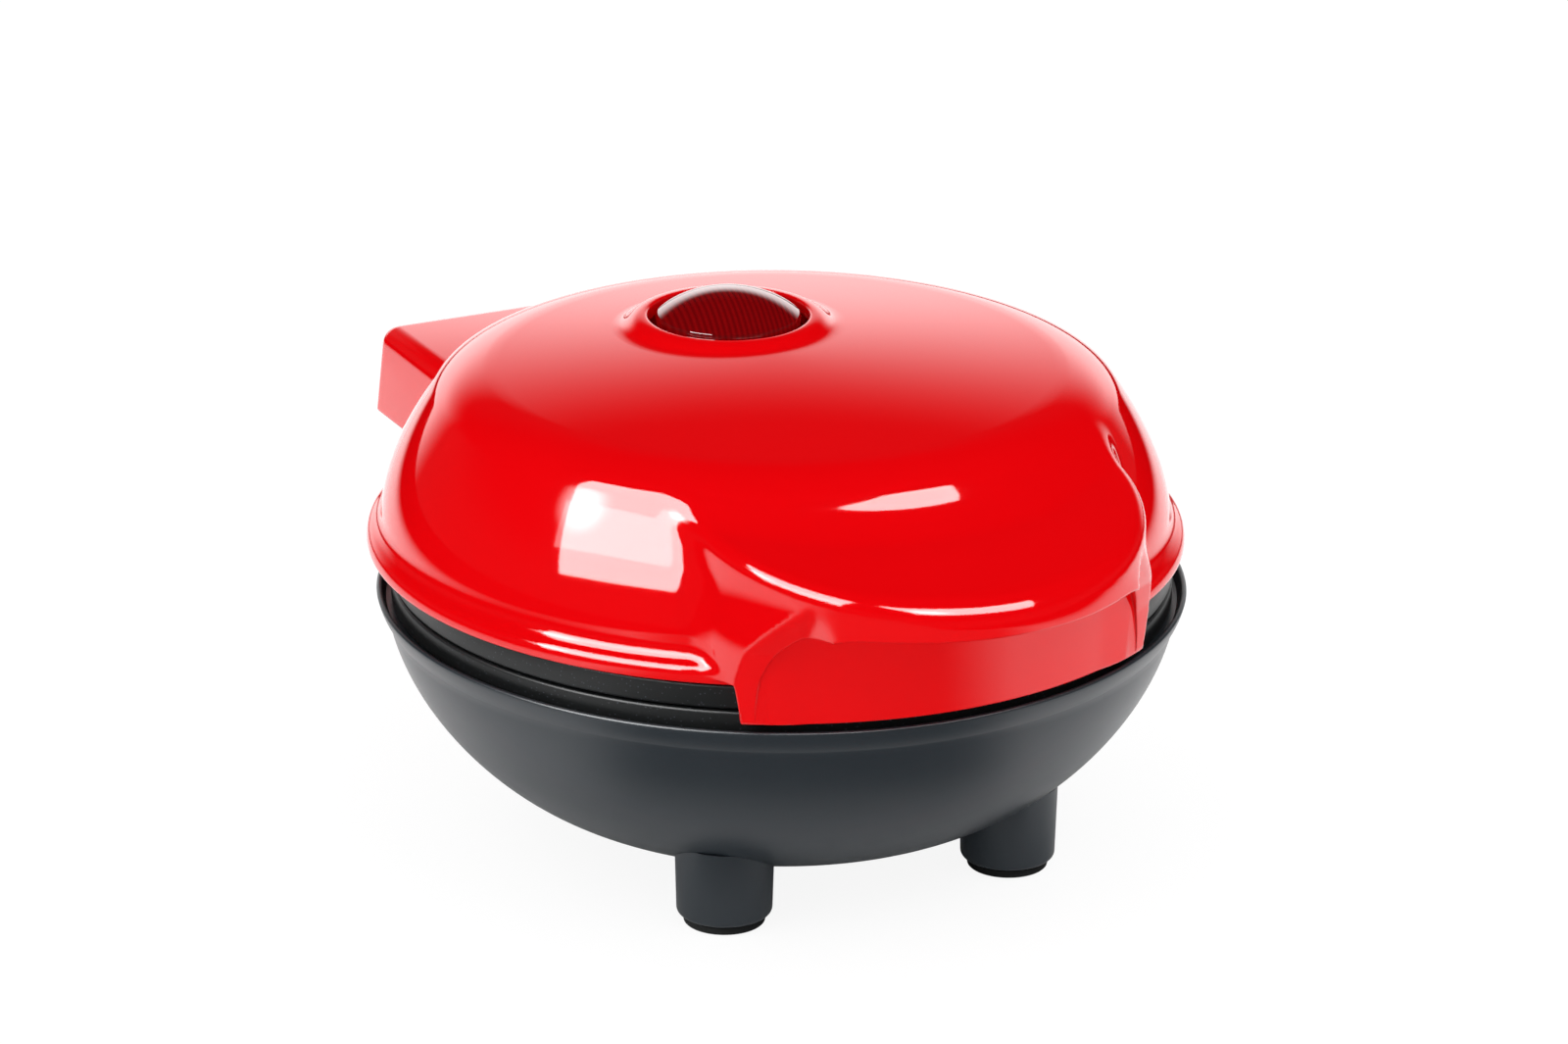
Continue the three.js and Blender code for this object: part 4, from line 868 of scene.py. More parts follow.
class Plates:
    """The two studded plates, one being the other turned over."""

    def __init__(self, size: PlateSize) -> None:
        """Keeps the plates' sizes."""
        self.size = size

    def blank(self) -> bmesh.types.BMesh:
        """Spins the lower plate without its studs.

        Returns:
            The mesh.
        """
        s = self.size
        top = s.seam - s.gap / 2
        low = top - s.rim
        floor = top - s.depth
        under = floor - s.thickness
        e = s.edge
        flat = s.cook - s.cook_edge
        outline = [
            (0.0, floor),
            (flat, floor), *rounding((flat, floor + s.cook_edge), s.cook_edge, -80, -10, 4),
            (s.cook + s.draft - e, top - e), (s.cook + s.draft, top),
            *rounding((s.radius - e, top - e), e, 90, 0, 4),
            *rounding((s.radius - e, low + e), e, 0, -90, 4),
            (s.body, low), (s.body, under + s.body_edge), (s.body - s.body_edge, under), (0.0, under),
        ]
        return spun(outline, s.steps)

    def stud(self, x: float, y: float) -> bmesh.types.BMesh:
        """Makes one stud.

        Args:
            x: its place across.
            y: its place along.

        Returns:
            The mesh.
        """
        s = self.size
        floor = s.seam - s.gap / 2 - s.depth
        half = s.foot / 2
        bm = block((-half, -half, floor - s.stud_root), (half, half, floor + s.stud))
        tops = [v for v in bm.verts if v.co.z > floor]
        bmesh.ops.scale(bm, vec=(s.tip / s.foot, s.tip / s.foot, 1), verts=tops)
        soften(bm, [e for e in bm.edges if max(v.co.z for v in e.verts) > floor], s.stud_edge, 3)
        return moved(bm, (x, y, 0))

    def studs(self) -> list[bmesh.types.BMesh]:
        """Makes all the studs of one plate.

        Returns:
            The meshes.
        """
        s = self.size
        line = [(i - (s.rows - 1) / 2) * s.pitch for i in range(s.rows)]
        return [self.stud(x, y) for x in line for y in line if math.hypot(x, y) < s.reach]

    def build(self, shop: Workshop) -> None:
        """Builds both plates.

        Args:
            shop: the workshop.
        """
        lower = shop.mesh(gathered([self.blank(), *self.studs()]), "plate_lower")
        shop.piece(lower, Body.BASE, [PLATE], ["lower_plate"])
        bm = gathered([self.blank(), *self.studs()])
        over = Matrix.Rotation(math.pi, 3, "Y")
        bmesh.ops.rotate(bm, verts=bm.verts, cent=(0, 0, self.size.seam), matrix=over)
        upper = shop.mesh(bm, "plate_upper")
        shop.piece(upper, Body.LID, [PLATE], ["upper_plate"])


@dataclass
class LidSize:
    """Sizes of the lid, in millimetres and degrees."""

    # Dome and flange, their places being (radius, height)
    setback: float = 2.2
    wall: float = 2.2
    apex: Pair = (0.0, 79.1)
    crown: Pair = (45.5, 77.2)
    shoulder: Pair = (54.1, 73.2)
    foot: Pair = (62.4, 55.0)
    flange: Pair = (64.9, 49.5)
    flange_low: float = 48.9
    flange_foot: float = 63.3
    flange_inner: float = 58.9
    flange_return: float = 1.0
    root_inset: float = 0.4
    wall_over: float = 10.0
    low_steps: int = 4
    # Tongue, a pair in x or z being where a change starts and ends
    tongue_radius: float = 36.0
    tongue_y: float = -43.0
    tongue_low: float = 43.4
    tongue_top: float = 70.2
    tongue_top_y: float = -53.0
    slope: float = 0.18
    crown_drop: float = 0.5
    nose_edge: float = 1.9
    side_rise: float = 4.6
    side_radius: float = 9.0
    side_x: Pair = (9.0, 24.0)
    foot_radius: float = 37.5
    foot_x: Pair = (16.0, 30.0)
    foot_z: Pair = (54.0, 66.0)
    skirt_inner: float = 62.4
    skirt_start: float = 58.0
    low_edge: float = 1.1
    leg_angle: float = 31.3
    leg_blend: float = 0.5
    leg_line: tuple[Pair, ...] = (
        (43.0, 67.2), (51.0, 67.5), (55.5, 68.6), (60.0, 71.0), (64.0, 73.4), (67.0, 76.0),
    )
    leg_x: Pair = (20.0, 28.0)
    leg_free: float = 25.0
    # Fillet between dome and tongue
    fillet_low: float = 1.6
    fillet_flank: float = 3.2
    fillet_middle: float = 4.0
    fillet_x: Pair = (14.0, 30.0)
    fillet_z: Pair = (55.0, 65.0)
    fade_share: float = 1.3
    fade_over: float = 0.4
    # How the front is meshed
    columns: int = 440
    column_width: float = 1.8
    column_peak: float = 9.0
    column_front: float = 1.2
    column_sides: Pair = (40.0, 60.0)
    front_angle: float = 52.0
    front_radius: float = 20.0
    lift_z: Pair = (55.0, 63.0)
    ray_inset: float = 3.0
    ray_span: Pair = (-0.6, 34.0)
    ray_halvings: int = 26
    least_move: float = 0.004
    # Finger recess
    recess_radius: float = 64.0
    recess_top: float = 60.7
    recess_foot_half: float = 32.6
    recess_pull_half: float = 33.0
    recess_top_half: float = 21.5
    recess_fillet: float = 6.0
    recess_flare: float = 1.3
    flare_angles: Pair = (22.0, 31.0)
    recess_y: Pair = (-40.0, -90.0)
    recess_over: float = 5.0
    core_over: float = 8.0
    core_steps: int = 288
    # Hinge block and ears
    block_half: float = 31.8
    block_front: float = 54.0
    block_back: float = 87.6
    block_top: float = 62.0
    block_low: float = 47.4
    block_draft: float = 1.1
    block_edge: float = 2.8
    room_front: float = 56.0
    room_over: float = 9.0
    ear_half: float = 4.6
    ear_top: float = 60.5
    ear_across: Pair = (25.8, 30.2)
    ear_edge: float = 0.3
    # Hole for the lens, and its collar
    lens_y: float = 19.5
    lens_hole: float = 12.93
    lens_steps: int = 160
    hole_z: Pair = (70.0, 90.0)
    collar_reach: float = 18.6
    collar_top: float = 80.3
    collar_lip: float = 0.5
    collar_edge: float = 0.3
    collar_flat: float = 0.8
    collar_rise: float = 1.8
    collar_sink: float = 0.01
    collar_depth: float = 4.0


class Lid:
    """The red lid shell: dome, flange, front tongue, hinge block and lens collar."""

    def __init__(self, size: LidSize) -> None:
        """Keeps the lid's sizes and draws the dome's outline.

        Args:
            size: the sizes.
        """
        self.size = size
        self.outer = self._outer()
        self.profile = np.array(self.outer)
        self.first_low = len(self.outer) - size.low_steps - 2
        foot = size.flange_foot + size.flange_return
        below = [(foot, size.flange_low), (foot, size.tongue_low - size.wall_over)]
        self.wall_line = np.array([*self.outer[:self.first_low + 1], *below])

    def _outer(self) -> list[Pair]:
        """The dome's outer outline, from the apex to the flange's foot.

        Returns:
            The outline.
        """
        s = self.size
        flange = bend(s.flange, s.foot, (0.0, 0.62), (0.9, 0.17), 18)
        side = bend(s.foot, s.shoulder, (0.09, 0.34), (0.55, 0.716), 44)
        shoulder = bend(s.shoulder, s.crown, (0.17, 0.52), (0.5, 0.84), 16)
        crown = bend(s.crown, s.apex, (0.34, 0.58), (0.66, 0.96), 26)
        upward = [*flange, *side[1:], *shoulder[1:], *crown[1:]]
        edge = s.flange[1] - s.flange_low
        low = rounding((s.flange[0] - edge, s.flange[1]), edge, 0, -90, s.low_steps)
        return [*reversed(upward), *low[1:], (s.flange_foot, s.flange_low)]

    def places(self, radius: np.ndarray, angle: np.ndarray, height: np.ndarray) -> np.ndarray:
        """Turns measures about the dome's axis into places about the bowl's.

        Args:
            radius: distances from the dome's axis.
            angle: angles from the front, in radians.
            height: heights.

        Returns:
            The places, one in each row.
        """
        return np.stack([radius * np.sin(angle), self.size.setback - radius * np.cos(angle), height], -1)

    def dome_distance(self, radius: np.ndarray, height: np.ndarray) -> np.ndarray:
        """Signed distance to the dome's outline, inside being negative.

        Args:
            radius: distance from the dome's axis.
            height: height.

        Returns:
            The distances.
        """
        start, end = self.wall_line[:-1], self.wall_line[1:]
        along = end - start
        length = np.einsum("ij,ij->i", along, along)
        point = np.stack([radius, height], -1)[:, None, :]
        offset = point - start[None]
        share = np.clip(np.einsum("pij,ij->pi", offset, along) / length, 0, 1)
        gap = offset - share[..., None] * along
        distance = np.linalg.norm(gap, axis=-1)
        best = distance.argmin(1)
        rows = np.arange(len(best))
        chosen, step = gap[rows, best], along[best]
        side = np.sign(chosen[:, 0] * -step[:, 1] + chosen[:, 1] * step[:, 0])
        return distance[rows, best] * np.where(side >= 0, 1.0, -1.0)

    def tongue_distance(self, x: np.ndarray, y: np.ndarray, z: np.ndarray) -> np.ndarray:
        """Signed distance to the tongue, its upper edge rounded.

        Args:
            x: across.
            y: along, about the bowl's axis.
            z: height.

        Returns:
            The distances.
        """
        s = self.size
        side = np.abs(x)
        across = np.clip(side / s.tongue_radius, 0, 1) ** 2
        top = s.tongue_top + (y - s.tongue_top_y) * s.slope - s.crown_drop * across
        spread = (s.foot_radius - s.tongue_radius) * (1 - smooth_step(z, *s.foot_z))
        spread = spread * smooth_step(side, *s.foot_x)
        bulge = np.maximum(z - top + s.side_rise, 0) ** 2 / (2 * s.side_radius)
        bulge = bulge * (1 - smooth_step(side, *s.side_x))
        reach = np.where(y < s.tongue_y, np.hypot(x, y - s.tongue_y), side)
        a = reach - s.tongue_radius - spread + bulge + s.nose_edge
        b = z - top + s.nose_edge
        return np.hypot(np.maximum(a, 0), np.maximum(b, 0)) + np.minimum(np.maximum(a, b), 0) - s.nose_edge

    def skin(self, x: np.ndarray, y: np.ndarray, z: np.ndarray) -> np.ndarray:
        """Signed distance to dome and tongue together, their joint filleted.

        Args:
            x: across.
            y: along, about the bowl's axis.
            z: height.

        Returns:
            The distances.
        """
        s = self.size
        side = np.abs(x)
        radius = np.hypot(x, y - s.setback)
        dome = self.dome_distance(radius, z)
        fade = 1 - smooth_step(radius, s.crown[0], s.shoulder[0] + s.fade_over)
        tongue = self.tongue_distance(x, y, z) + s.fillet_middle * s.fade_share * fade
        upper = s.fillet_middle + (s.fillet_flank - s.fillet_middle) * smooth_step(side, *s.fillet_x)
        fillet = s.fillet_low + (upper - s.fillet_low) * smooth_step(z, *s.fillet_z)
        corner = np.hypot(np.maximum(fillet - dome, 0), np.maximum(fillet - tongue, 0))
        joined = np.maximum(fillet, np.minimum(dome, tongue)) - corner
        heights, limits = np.array(s.leg_line).T
        leg = radius - np.interp(z, heights, limits) - s.leg_free * (1 - smooth_step(side, *s.leg_x))
        return np.maximum(joined, leg)

    def column_angles(self) -> np.ndarray:
        """Angles of the columns from the front, closest together where the tongue's legs end.

        Returns:
            The angles in radians, one for each step of the spin.
        """
        s = self.size
        fine = np.radians(np.linspace(-180, 180, 3601))
        off = np.degrees(np.abs(fine))
        near = (off - s.leg_angle) / s.column_width
        front = 1 - smooth_step(off, *s.column_sides)
        density = 1 + s.column_peak * np.exp(-near * near) + s.column_front * front
        total = np.concatenate([[0], np.cumsum((density[1:] + density[:-1]) / 2)])
        return np.interp(np.arange(s.columns) / s.columns * total[-1], total, fine)

    def shell(self) -> bmesh.types.BMesh:
        """Spins the dome and pushes its front out to the tongue.

        Returns:
            The closed mesh.
        """
        s = self.size
        rows = np.array([*self.outer, *self._inner()])
        bm = spun([tuple(p) for p in rows.tolist()], s.columns)
        spots = np.array([v.co for v in bm.verts])
        radius, level = np.hypot(spots[:, 0], spots[:, 1]), spots[:, 2]
        row = np.linalg.norm(np.stack([radius, level], -1)[:, None] - rows[None], axis=-1).argmin(1)
        column = np.rint(np.arctan2(spots[:, 1], spots[:, 0]) / TURN * s.columns).astype(int) % s.columns
        angle = self.column_angles()[column]
        turned = self.places(radius, angle, level)
        for vert, place in zip(bm.verts, self._push(turned, row, radius, angle)):
            vert.co = place
        bmesh.ops.recalc_face_normals(bm, faces=bm.faces)
        return bm

    def _inner(self) -> list[Pair]:
        """The inner outline, from the flange's foot up to the apex.

        Returns:
            The outline.
        """
        s = self.size
        inner = []
        for before, at, after in zip(self.profile, self.profile[1:], self.profile[2:]):
            along = (after - before) / np.linalg.norm(after - before)
            inner.append((float(at[0] + along[1] * s.wall), float(at[1] - along[0] * s.wall)))
        kept = [p for p in inner[::4] if p[0] > 1 and p[1] > s.foot[1] and p[0] < s.flange_inner]
        root = (s.flange_foot - s.root_inset, s.flange_low)
        return [root, (s.flange_inner, s.flange_low), *reversed(kept), (0.0, s.apex[1] - s.wall)]

    def _push(self, places: np.ndarray, row: np.ndarray, radius: np.ndarray, angle: np.ndarray) -> np.ndarray:
        """Moves the outer rows of the front columns on to the skin.

        Args:
            places: the vertices on the plain dome.
            row: outline row of each vertex.
            radius: distance of each from the dome's axis.
            angle: angle of each from the front.

        Returns:
            The moved vertices.
        """
        s = self.size
        inside = self._inside(angle)
        step = np.gradient(self.profile, axis=0)
        lift = np.arctan2(step[:, 0], np.maximum(-step[:, 1], 0.001))
        lift = lift * smooth_step(self.profile[:, 1], *s.lift_z)
        foot_row = int(np.argmin(np.linalg.norm(self.profile - np.array(s.foot), axis=1)))
        lower = row > foot_row
        share = np.clip((row - foot_row) / (self.first_low - foot_row), 0, 1)
        target = s.foot[1] + (s.tongue_low + s.low_edge - s.foot[1]) * share
        height = np.where(lower, places[:, 2] + (target - places[:, 2]) * inside, places[:, 2])
        start = np.where(lower, radius + (s.foot[0] - s.ray_inset - radius) * inside, radius)
        front = np.abs(angle) < math.radians(s.front_angle)
        chosen = np.nonzero(front & (row < self.first_low) & (radius > s.front_radius))[0]
        reached = self._march(angle[chosen], start[chosen], height[chosen], lift[row[chosen]])
        made = places.copy()
        moves = np.linalg.norm(reached - places[chosen], axis=1) > s.least_move
        made[chosen[moves]] = reached[moves]
        return self._low_edge(made, row, angle, inside)

    def _inside(self, angle: np.ndarray) -> np.ndarray:
        """Tells how far columns belong to the tongue's skirt.

        Args:
            angle: angles from the front.

        Returns:
            1 inside the skirt, 0 beside it.
        """
        s = self.size
        off = np.degrees(np.abs(angle))
        return 1 - smooth_step(off, s.leg_angle - s.leg_blend, s.leg_angle + s.leg_blend)

    def _march(
        self, angle: np.ndarray, radius: np.ndarray, height: np.ndarray, tilt: np.ndarray,
    ) -> np.ndarray:
        """Follows rays from inside the lid to its skin.

        Args:
            angle: angle of each ray from the front.
            radius: where it starts, from the dome's axis.
            height: where it starts.
            tilt: how far it rises.

        Returns:
            The places on the skin.
        """
        s = self.size
        out = np.cos(tilt)
        ray = np.stack([out * np.sin(angle), -out * np.cos(angle), np.sin(tilt)], -1)
        origin = self.places(radius, angle, height)
        low, high = (np.full(len(angle), end) for end in s.ray_span)
        for _ in range(s.ray_halvings):
            middle = (low + high) / 2
            outside = self.skin(*(origin + ray * middle[:, None]).T) > 0
            high = np.where(outside, middle, high)
            low = np.where(outside, low, middle)
        return origin + ray * low[:, None]

    def _low_edge(
        self, places: np.ndarray, row: np.ndarray, angle: np.ndarray, inside: np.ndarray,
    ) -> np.ndarray:
        """Rounds the lower edge of the tongue's skirt and closes it to its inner side.

        Args:
            places: the vertices so far.
            row: outline row of each.
            angle: angle of each from the front.
            inside: 1 where the skirt is, 0 beside it.

        Returns:
            The vertices.
        """
        s = self.size
        last = len(self.outer) - 1
        chosen = np.nonzero((row >= self.first_low) & (row <= last + 1) & (inside > 0))[0]
        at, rank = angle[chosen], row[chosen]
        level = np.full(len(at), s.tongue_low + s.low_edge)
        skin = self._march(at, np.full(len(at), s.skirt_start), level, np.zeros(len(at)))
        reach = np.hypot(skin[:, 0], skin[:, 1] - s.setback)
        inner = s.setback * np.cos(at) + np.sqrt(s.skirt_inner**2 - (s.setback * np.sin(at)) ** 2)
        reach = np.maximum(reach, inner + s.low_edge)
        turn = np.clip((rank - self.first_low) / s.low_steps, 0, 1) * math.pi / 2
        radius = reach - s.low_edge * (1 - np.cos(turn))
        level = s.tongue_low + s.low_edge * (1 - np.sin(turn))
        level = np.where(rank == last, s.tongue_low, np.where(rank > last, s.flange_low, level))
        radius = np.where(rank >= last, inner, radius)
        weight = inside[chosen][:, None]
        places[chosen] = places[chosen] * (1 - weight) + self.places(radius, at, level) * weight
        return places

    def recess(self, shop: Workshop) -> bpy.types.Object:
        """Makes the cutting shape of the finger recess.

        Args:
            shop: the workshop.

        Returns:
            The cutting object.
        """
        s = self.size
        foot, pull, top = s.recess_foot_half, s.recess_pull_half, s.recess_top_half
        low, high = s.tongue_low, s.recess_top + s.recess_over
        t = np.linspace(0, 1, 25)
        xs = (1 - t) ** 2 * foot + 2 * (1 - t) * t * pull + t**2 * top
        zs = (1 - t) ** 2 * low + (1 - (1 - t) ** 2) * s.recess_top
        right = [(foot, low - s.recess_over), *zip(xs.tolist(), zs.tolist())]
        arch = [*right, *[(-x, z) for x, z in reversed(right)]]
        back, front = s.recess_y
        bm = bmesh.new()
        face = bm.faces.new([bm.verts.new((x, back, z)) for x, z in arch])
        made = bmesh.ops.extrude_face_region(bm, geom=[face])
        verts = [v for v in made["geom"] if isinstance(v, bmesh.types.BMVert)]
        bmesh.ops.translate(bm, verts=verts, vec=(0, front - back, 0))
        bmesh.ops.recalc_face_normals(bm, faces=bm.faces)
        prism = shop.mesh(bm, "recess_tool")
        centre = (s.recess_radius + s.recess_fillet, s.recess_top - s.recess_fillet)
        core = [
            (0.0, low - s.core_over), (s.recess_radius, low - s.core_over),
            *rounding(centre, s.recess_fillet, 180, 90, 10), (centre[0], high), (0.0, high),
        ]
        body = spun(core, s.core_steps)
        for vert in body.verts:
            radius = math.hypot(vert.co.x, vert.co.y)
            if radius > s.recess_radius - 1:
                off = math.degrees(abs(math.atan2(vert.co.x, -vert.co.y)))
                spread = 1 + s.recess_flare * float(smooth_step(off, *s.flare_angles)) / radius
                vert.co.x, vert.co.y = vert.co.x * spread, vert.co.y * spread
        shop.combine(prism, shop.mesh(body, "core_tool"), "DIFFERENCE")
        return prism

    def hinge_block(self) -> bmesh.types.BMesh:
        """Makes the block at the back.

        Returns:
            The mesh.
        """
        s = self.size
        bm = block((-s.block_half, s.block_front, s.block_low), (s.block_half, s.block_back, s.block_top))
        middle_y, middle_z = (s.block_front + s.block_back) / 2, (s.block_low + s.block_top) / 2
        for vert in bm.verts:
            if vert.co.z < middle_z:
                vert.co.x += math.copysign(s.block_draft, vert.co.x)
                if vert.co.y > middle_y:
                    vert.co.y += s.block_draft
        shown = [
            e for e in bm.edges
            if max(v.co.y for v in e.verts) > middle_y and max(v.co.z for v in e.verts) > middle_z
        ]
        soften(bm, shown, s.block_edge, 6)
        return bm

    def collar(self) -> bmesh.types.BMesh:
        """Spins the collar round the lens, its foot following the dome.

        Returns:
            The mesh.
        """
        s = self.size
        edge, flat_end = s.collar_edge, s.lens_hole + s.collar_flat
        foot = bend((s.collar_reach, 0.0), (s.lens_hole + s.collar_lip, 1.0), (0.55, 0.02), (0.45, 1.0), 16)
        top = rounding((s.lens_hole + edge, 1.0 - edge), edge, 100, 180, 5)
        bm = spun([*foot, *top, (s.lens_hole, 0.0)], s.lens_steps)
        upward = self.profile[::-1]
        order = upward[:, 0].argsort()
        for vert in bm.verts:
            reach, share = math.hypot(vert.co.x, vert.co.y), vert.co.z
            y = vert.co.y + s.lens_y - s.setback
            under = float(np.interp(math.hypot(vert.co.x, y), upward[order, 0], upward[order, 1]))
            level = smooth_step(reach, flat_end, s.collar_reach)
            flat = s.collar_top - s.collar_rise + s.collar_rise * share
            follow = under - s.collar_sink + (s.collar_top - under) * share
            if share > 0 or reach > flat_end:
                vert.co.z = float(follow * level + flat * (1 - level))
            else:
                vert.co.z = s.collar_top - s.collar_depth
            vert.co.y += s.lens_y
        bmesh.ops.recalc_face_normals(bm, faces=bm.faces)
        return bm

    def ear(self, side: int) -> bmesh.types.BMesh:
        """Makes one ear that turns on a hinge pin.

        Args:
            side: 1 or -1.

        Returns:
            The mesh.
        """
        s = self.size
        y, half = HINGE[0], s.ear_half
        outline = [(y - half, s.ear_top), *rounding(HINGE, half, 180, 360, 16), (y + half, s.ear_top)]
        low, high = sorted(side * x for x in s.ear_across)
        return side_plate(outline, low, high, s.ear_edge)

    def build(self, shop: Workshop) -> None:
        """Builds the lid shell.

        Args:
            shop: the workshop.
        """
        s = self.size
        made = shop.mesh(self.shell(), "lid_dome")
        shop.combine(made, self.recess(shop), "DIFFERENCE")
        shop.combine(made, shop.mesh(self.hinge_block(), "block_tool"), "UNION")
        half = s.block_half - s.wall
        low = (-half, s.room_front, s.block_low - s.room_over)
        room = block(low, (half, s.block_back - s.wall, s.block_top - s.wall))
        shop.combine(made, shop.mesh(room, "room_tool"), "DIFFERENCE")
        low, high = s.hole_z
        hole = spun([(0.0, low), (s.lens_hole, low), (s.lens_hole, high), (0.0, high)], s.lens_steps)
        shop.combine(made, shop.mesh(moved(hole, (0, s.lens_y, 0)), "hole_tool"), "DIFFERENCE")
        extra = shop.mesh(gathered([self.collar(), self.ear(1), self.ear(-1)]), "lid_extra")
        bm = bmesh.new()
        bm.from_mesh(made.data)
        bm.from_mesh(extra.data)
        bm.to_mesh(made.data)
        bm.free()
        bpy.data.objects.remove(extra)
        shop.piece(made, Body.LID, [RED_GLOSS], ["lid_shell"], crease=38.0)


@dataclass
class LensSize:
    """Sizes of the indicator lens, in millimetres."""

    y: float = 19.5
    radius: float = 11.6
    edge: float = 0.3
    sphere: float = 19.1
    top: float = 84.2
    side: float = 4.4
    seat: float = 75.3
    flange: float = 15.5
    flange_low: float = 73.9
    wall: float = 2.0
    steps: int = 128


class Lens:
    """The ribbed red lens."""

    def __init__(self, size: LensSize) -> None:
        """Keeps the lens's sizes."""
        self.size = size

    def cap(self, radius: float, sphere: float) -> list[Pair]:
        """The outline of a cap from its top outwards.

        Args:
            radius: radius at its edge.
            sphere: radius of its sphere.

        Returns:
            The outline.
        """
        reach = math.degrees(math.asin(radius / sphere))
        return rounding((0.0, self.size.top - self.size.sphere), sphere, 90, 90 - reach, 24)

    def build(self, shop: Workshop) -> None:
        """Builds the lens.

        Args:
            shop: the workshop.
        """
        s = self.size
        outline = [
            *self.cap(s.radius - s.edge, s.sphere), (s.radius, s.seat + s.side), (s.radius, s.seat),
            (s.flange, s.seat), (s.flange, s.flange_low), (s.radius - s.wall, s.flange_low),
            *reversed(self.cap(s.radius - s.wall, s.sphere - s.wall)),
        ]
        made = shop.mesh(moved(spun(outline, s.steps), (0, s.y, 0)), "lens_cap")
        shop.piece(made, Body.LID, [LENS_RED], ["indicator_lens"])


@dataclass
class Loom:
    """The sleeve that takes the lid's wires past the hinge."""

    radius: float = 1.8
    route: tuple[Triple, ...] = (
        (0.0, 30.3, 16.0), (0.0, 33.3, 16.0), (0.0, 54.0, 30.6), (0.0, 61.5, 33.6), (0.0, 67.0, 38.6),
        (0.0, 69.4, 45.0), (0.0, 69.4, 51.0), (0.0, 58.5, 57.4), (0.0, 45.0, 64.1),
    )
    bend_heights: Pair = (41.0, 55.0)
    bend_y: float = 69.4
    section_steps: int = 5
    run_steps: int = 14

    def build(self, shop: Workshop) -> None:
        """Builds the sleeve along its route.

        Args:
            shop: the workshop.
        """
        data = bpy.data.curves.new("route", "CURVE")
        data.dimensions = "3D"
        data.bevel_depth = self.radius
        data.bevel_resolution = self.section_steps
        data.use_fill_caps = True
        line = data.splines.new("BEZIER")
        line.bezier_points.add(len(self.route) - 1)
        line.resolution_u = self.run_steps
        for point, place in zip(line.bezier_points, self.route):
            point.co = place
            point.handle_left_type = point.handle_right_type = "AUTO"
        held = placed("route", data)
        bpy.context.view_layer.update()
        graph = bpy.context.evaluated_depsgraph_get()
        swept = bpy.data.meshes.new_from_object(held.evaluated_get(graph))
        bm = bmesh.new()
        bm.from_mesh(swept)
        bpy.data.objects.remove(held)
        bpy.data.meshes.remove(swept)
        bmesh.ops.remove_doubles(bm, verts=bm.verts, dist=1e-4)
        bmesh.ops.recalc_face_normals(bm, faces=bm.faces)
        tube = shop.mesh(bm, "loom_tube")
        made = shop.piece(tube, None, [SLEEVE], ["hinge_loom"], crease=50.0)
        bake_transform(made)


class Hardware:
    """The CAD nodes that are shown as they are, each with its slot's finish."""

    def __init__(self, frame: dict) -> None:
        """Keeps the frame's nodes and their slots."""
        self.nodes = frame["nodes"]
        self.slots = {row["node"]: row["material_slot"] for row in frame["record"]["subparts"]}

    def dress(self, palette: Palette) -> None:
        """Gives every shown CAD node its finish.

        Args:
            palette: the palette.
        """
        for name, node in self.nodes.items():
            if node.hide_render:
                continue
            node.data.materials.clear()
            node.data.materials.append(palette.get(SLOT_FINISHES[self.slots[name]]))


@dataclass
class SoftBox:
    """A rectangular lamp that looks at the object.

    Args:
        name: name of the lamp.
        duty: whether it lights matt surfaces or is what glossy ones mirror.
        azimuth: direction from the front towards -X, in degrees.
        elevation: height above the horizon, in degrees.
        width: width in metres.
        height: height in metres.
        power: power in watts.
        roll: turn about its own axis, in degrees.
        soft: whether it fades from its middle to its edge.
        distance: distance from the object in metres.
    """

    name: str
    duty: Duty
    azimuth: float
    elevation: float
    width: float
    height: float
    power: float
    roll: float = 0.0
    soft: bool = False
    distance: float = 1.6

    def build(self, aim: Vector) -> None:
        """Adds the lamp.

        Args:
            aim: the point that it looks at.
        """
        data = bpy.data.lights.new(self.name, "AREA")
        data.shape = "RECTANGLE"
        data.size, data.size_y = self.width, self.height
        data.energy = self.power
        lamp = placed(self.name, data)
        away = heading(-self.azimuth, self.elevation)
        lamp.location = aim + away * self.distance
        lamp.rotation_mode = "QUATERNION"
        turn = Quaternion((0, 0, 1), math.radians(self.roll))
        lamp.rotation_quaternion = away.to_track_quat("Z", "Y") @ turn
        lamp.visible_glossy = self.duty is Duty.GLINT
        lamp.visible_diffuse = self.duty is Duty.FILL
        if self.soft:
            self._fade(data)

    @staticmethod
    def _fade(data: bpy.types.Light) -> None:
        """Makes a lamp fade from its middle to its edge.

        Args:
            data: the lamp's data.
        """
        data.use_nodes = True
        tree = data.node_tree
        place = tree.nodes.new("ShaderNodeNewGeometry").outputs["Parametric"]
        away = added(tree, "VectorMath", {0: place, 1: (0.5, 0.5, 0.0)}, operation="DISTANCE")
        strength = linked_ramp(tree, away.outputs["Value"], (0.1, 0.5), 1.0, 0.0)
        tree.links.new(strength, tree.nodes["Emission"].inputs["Strength"])


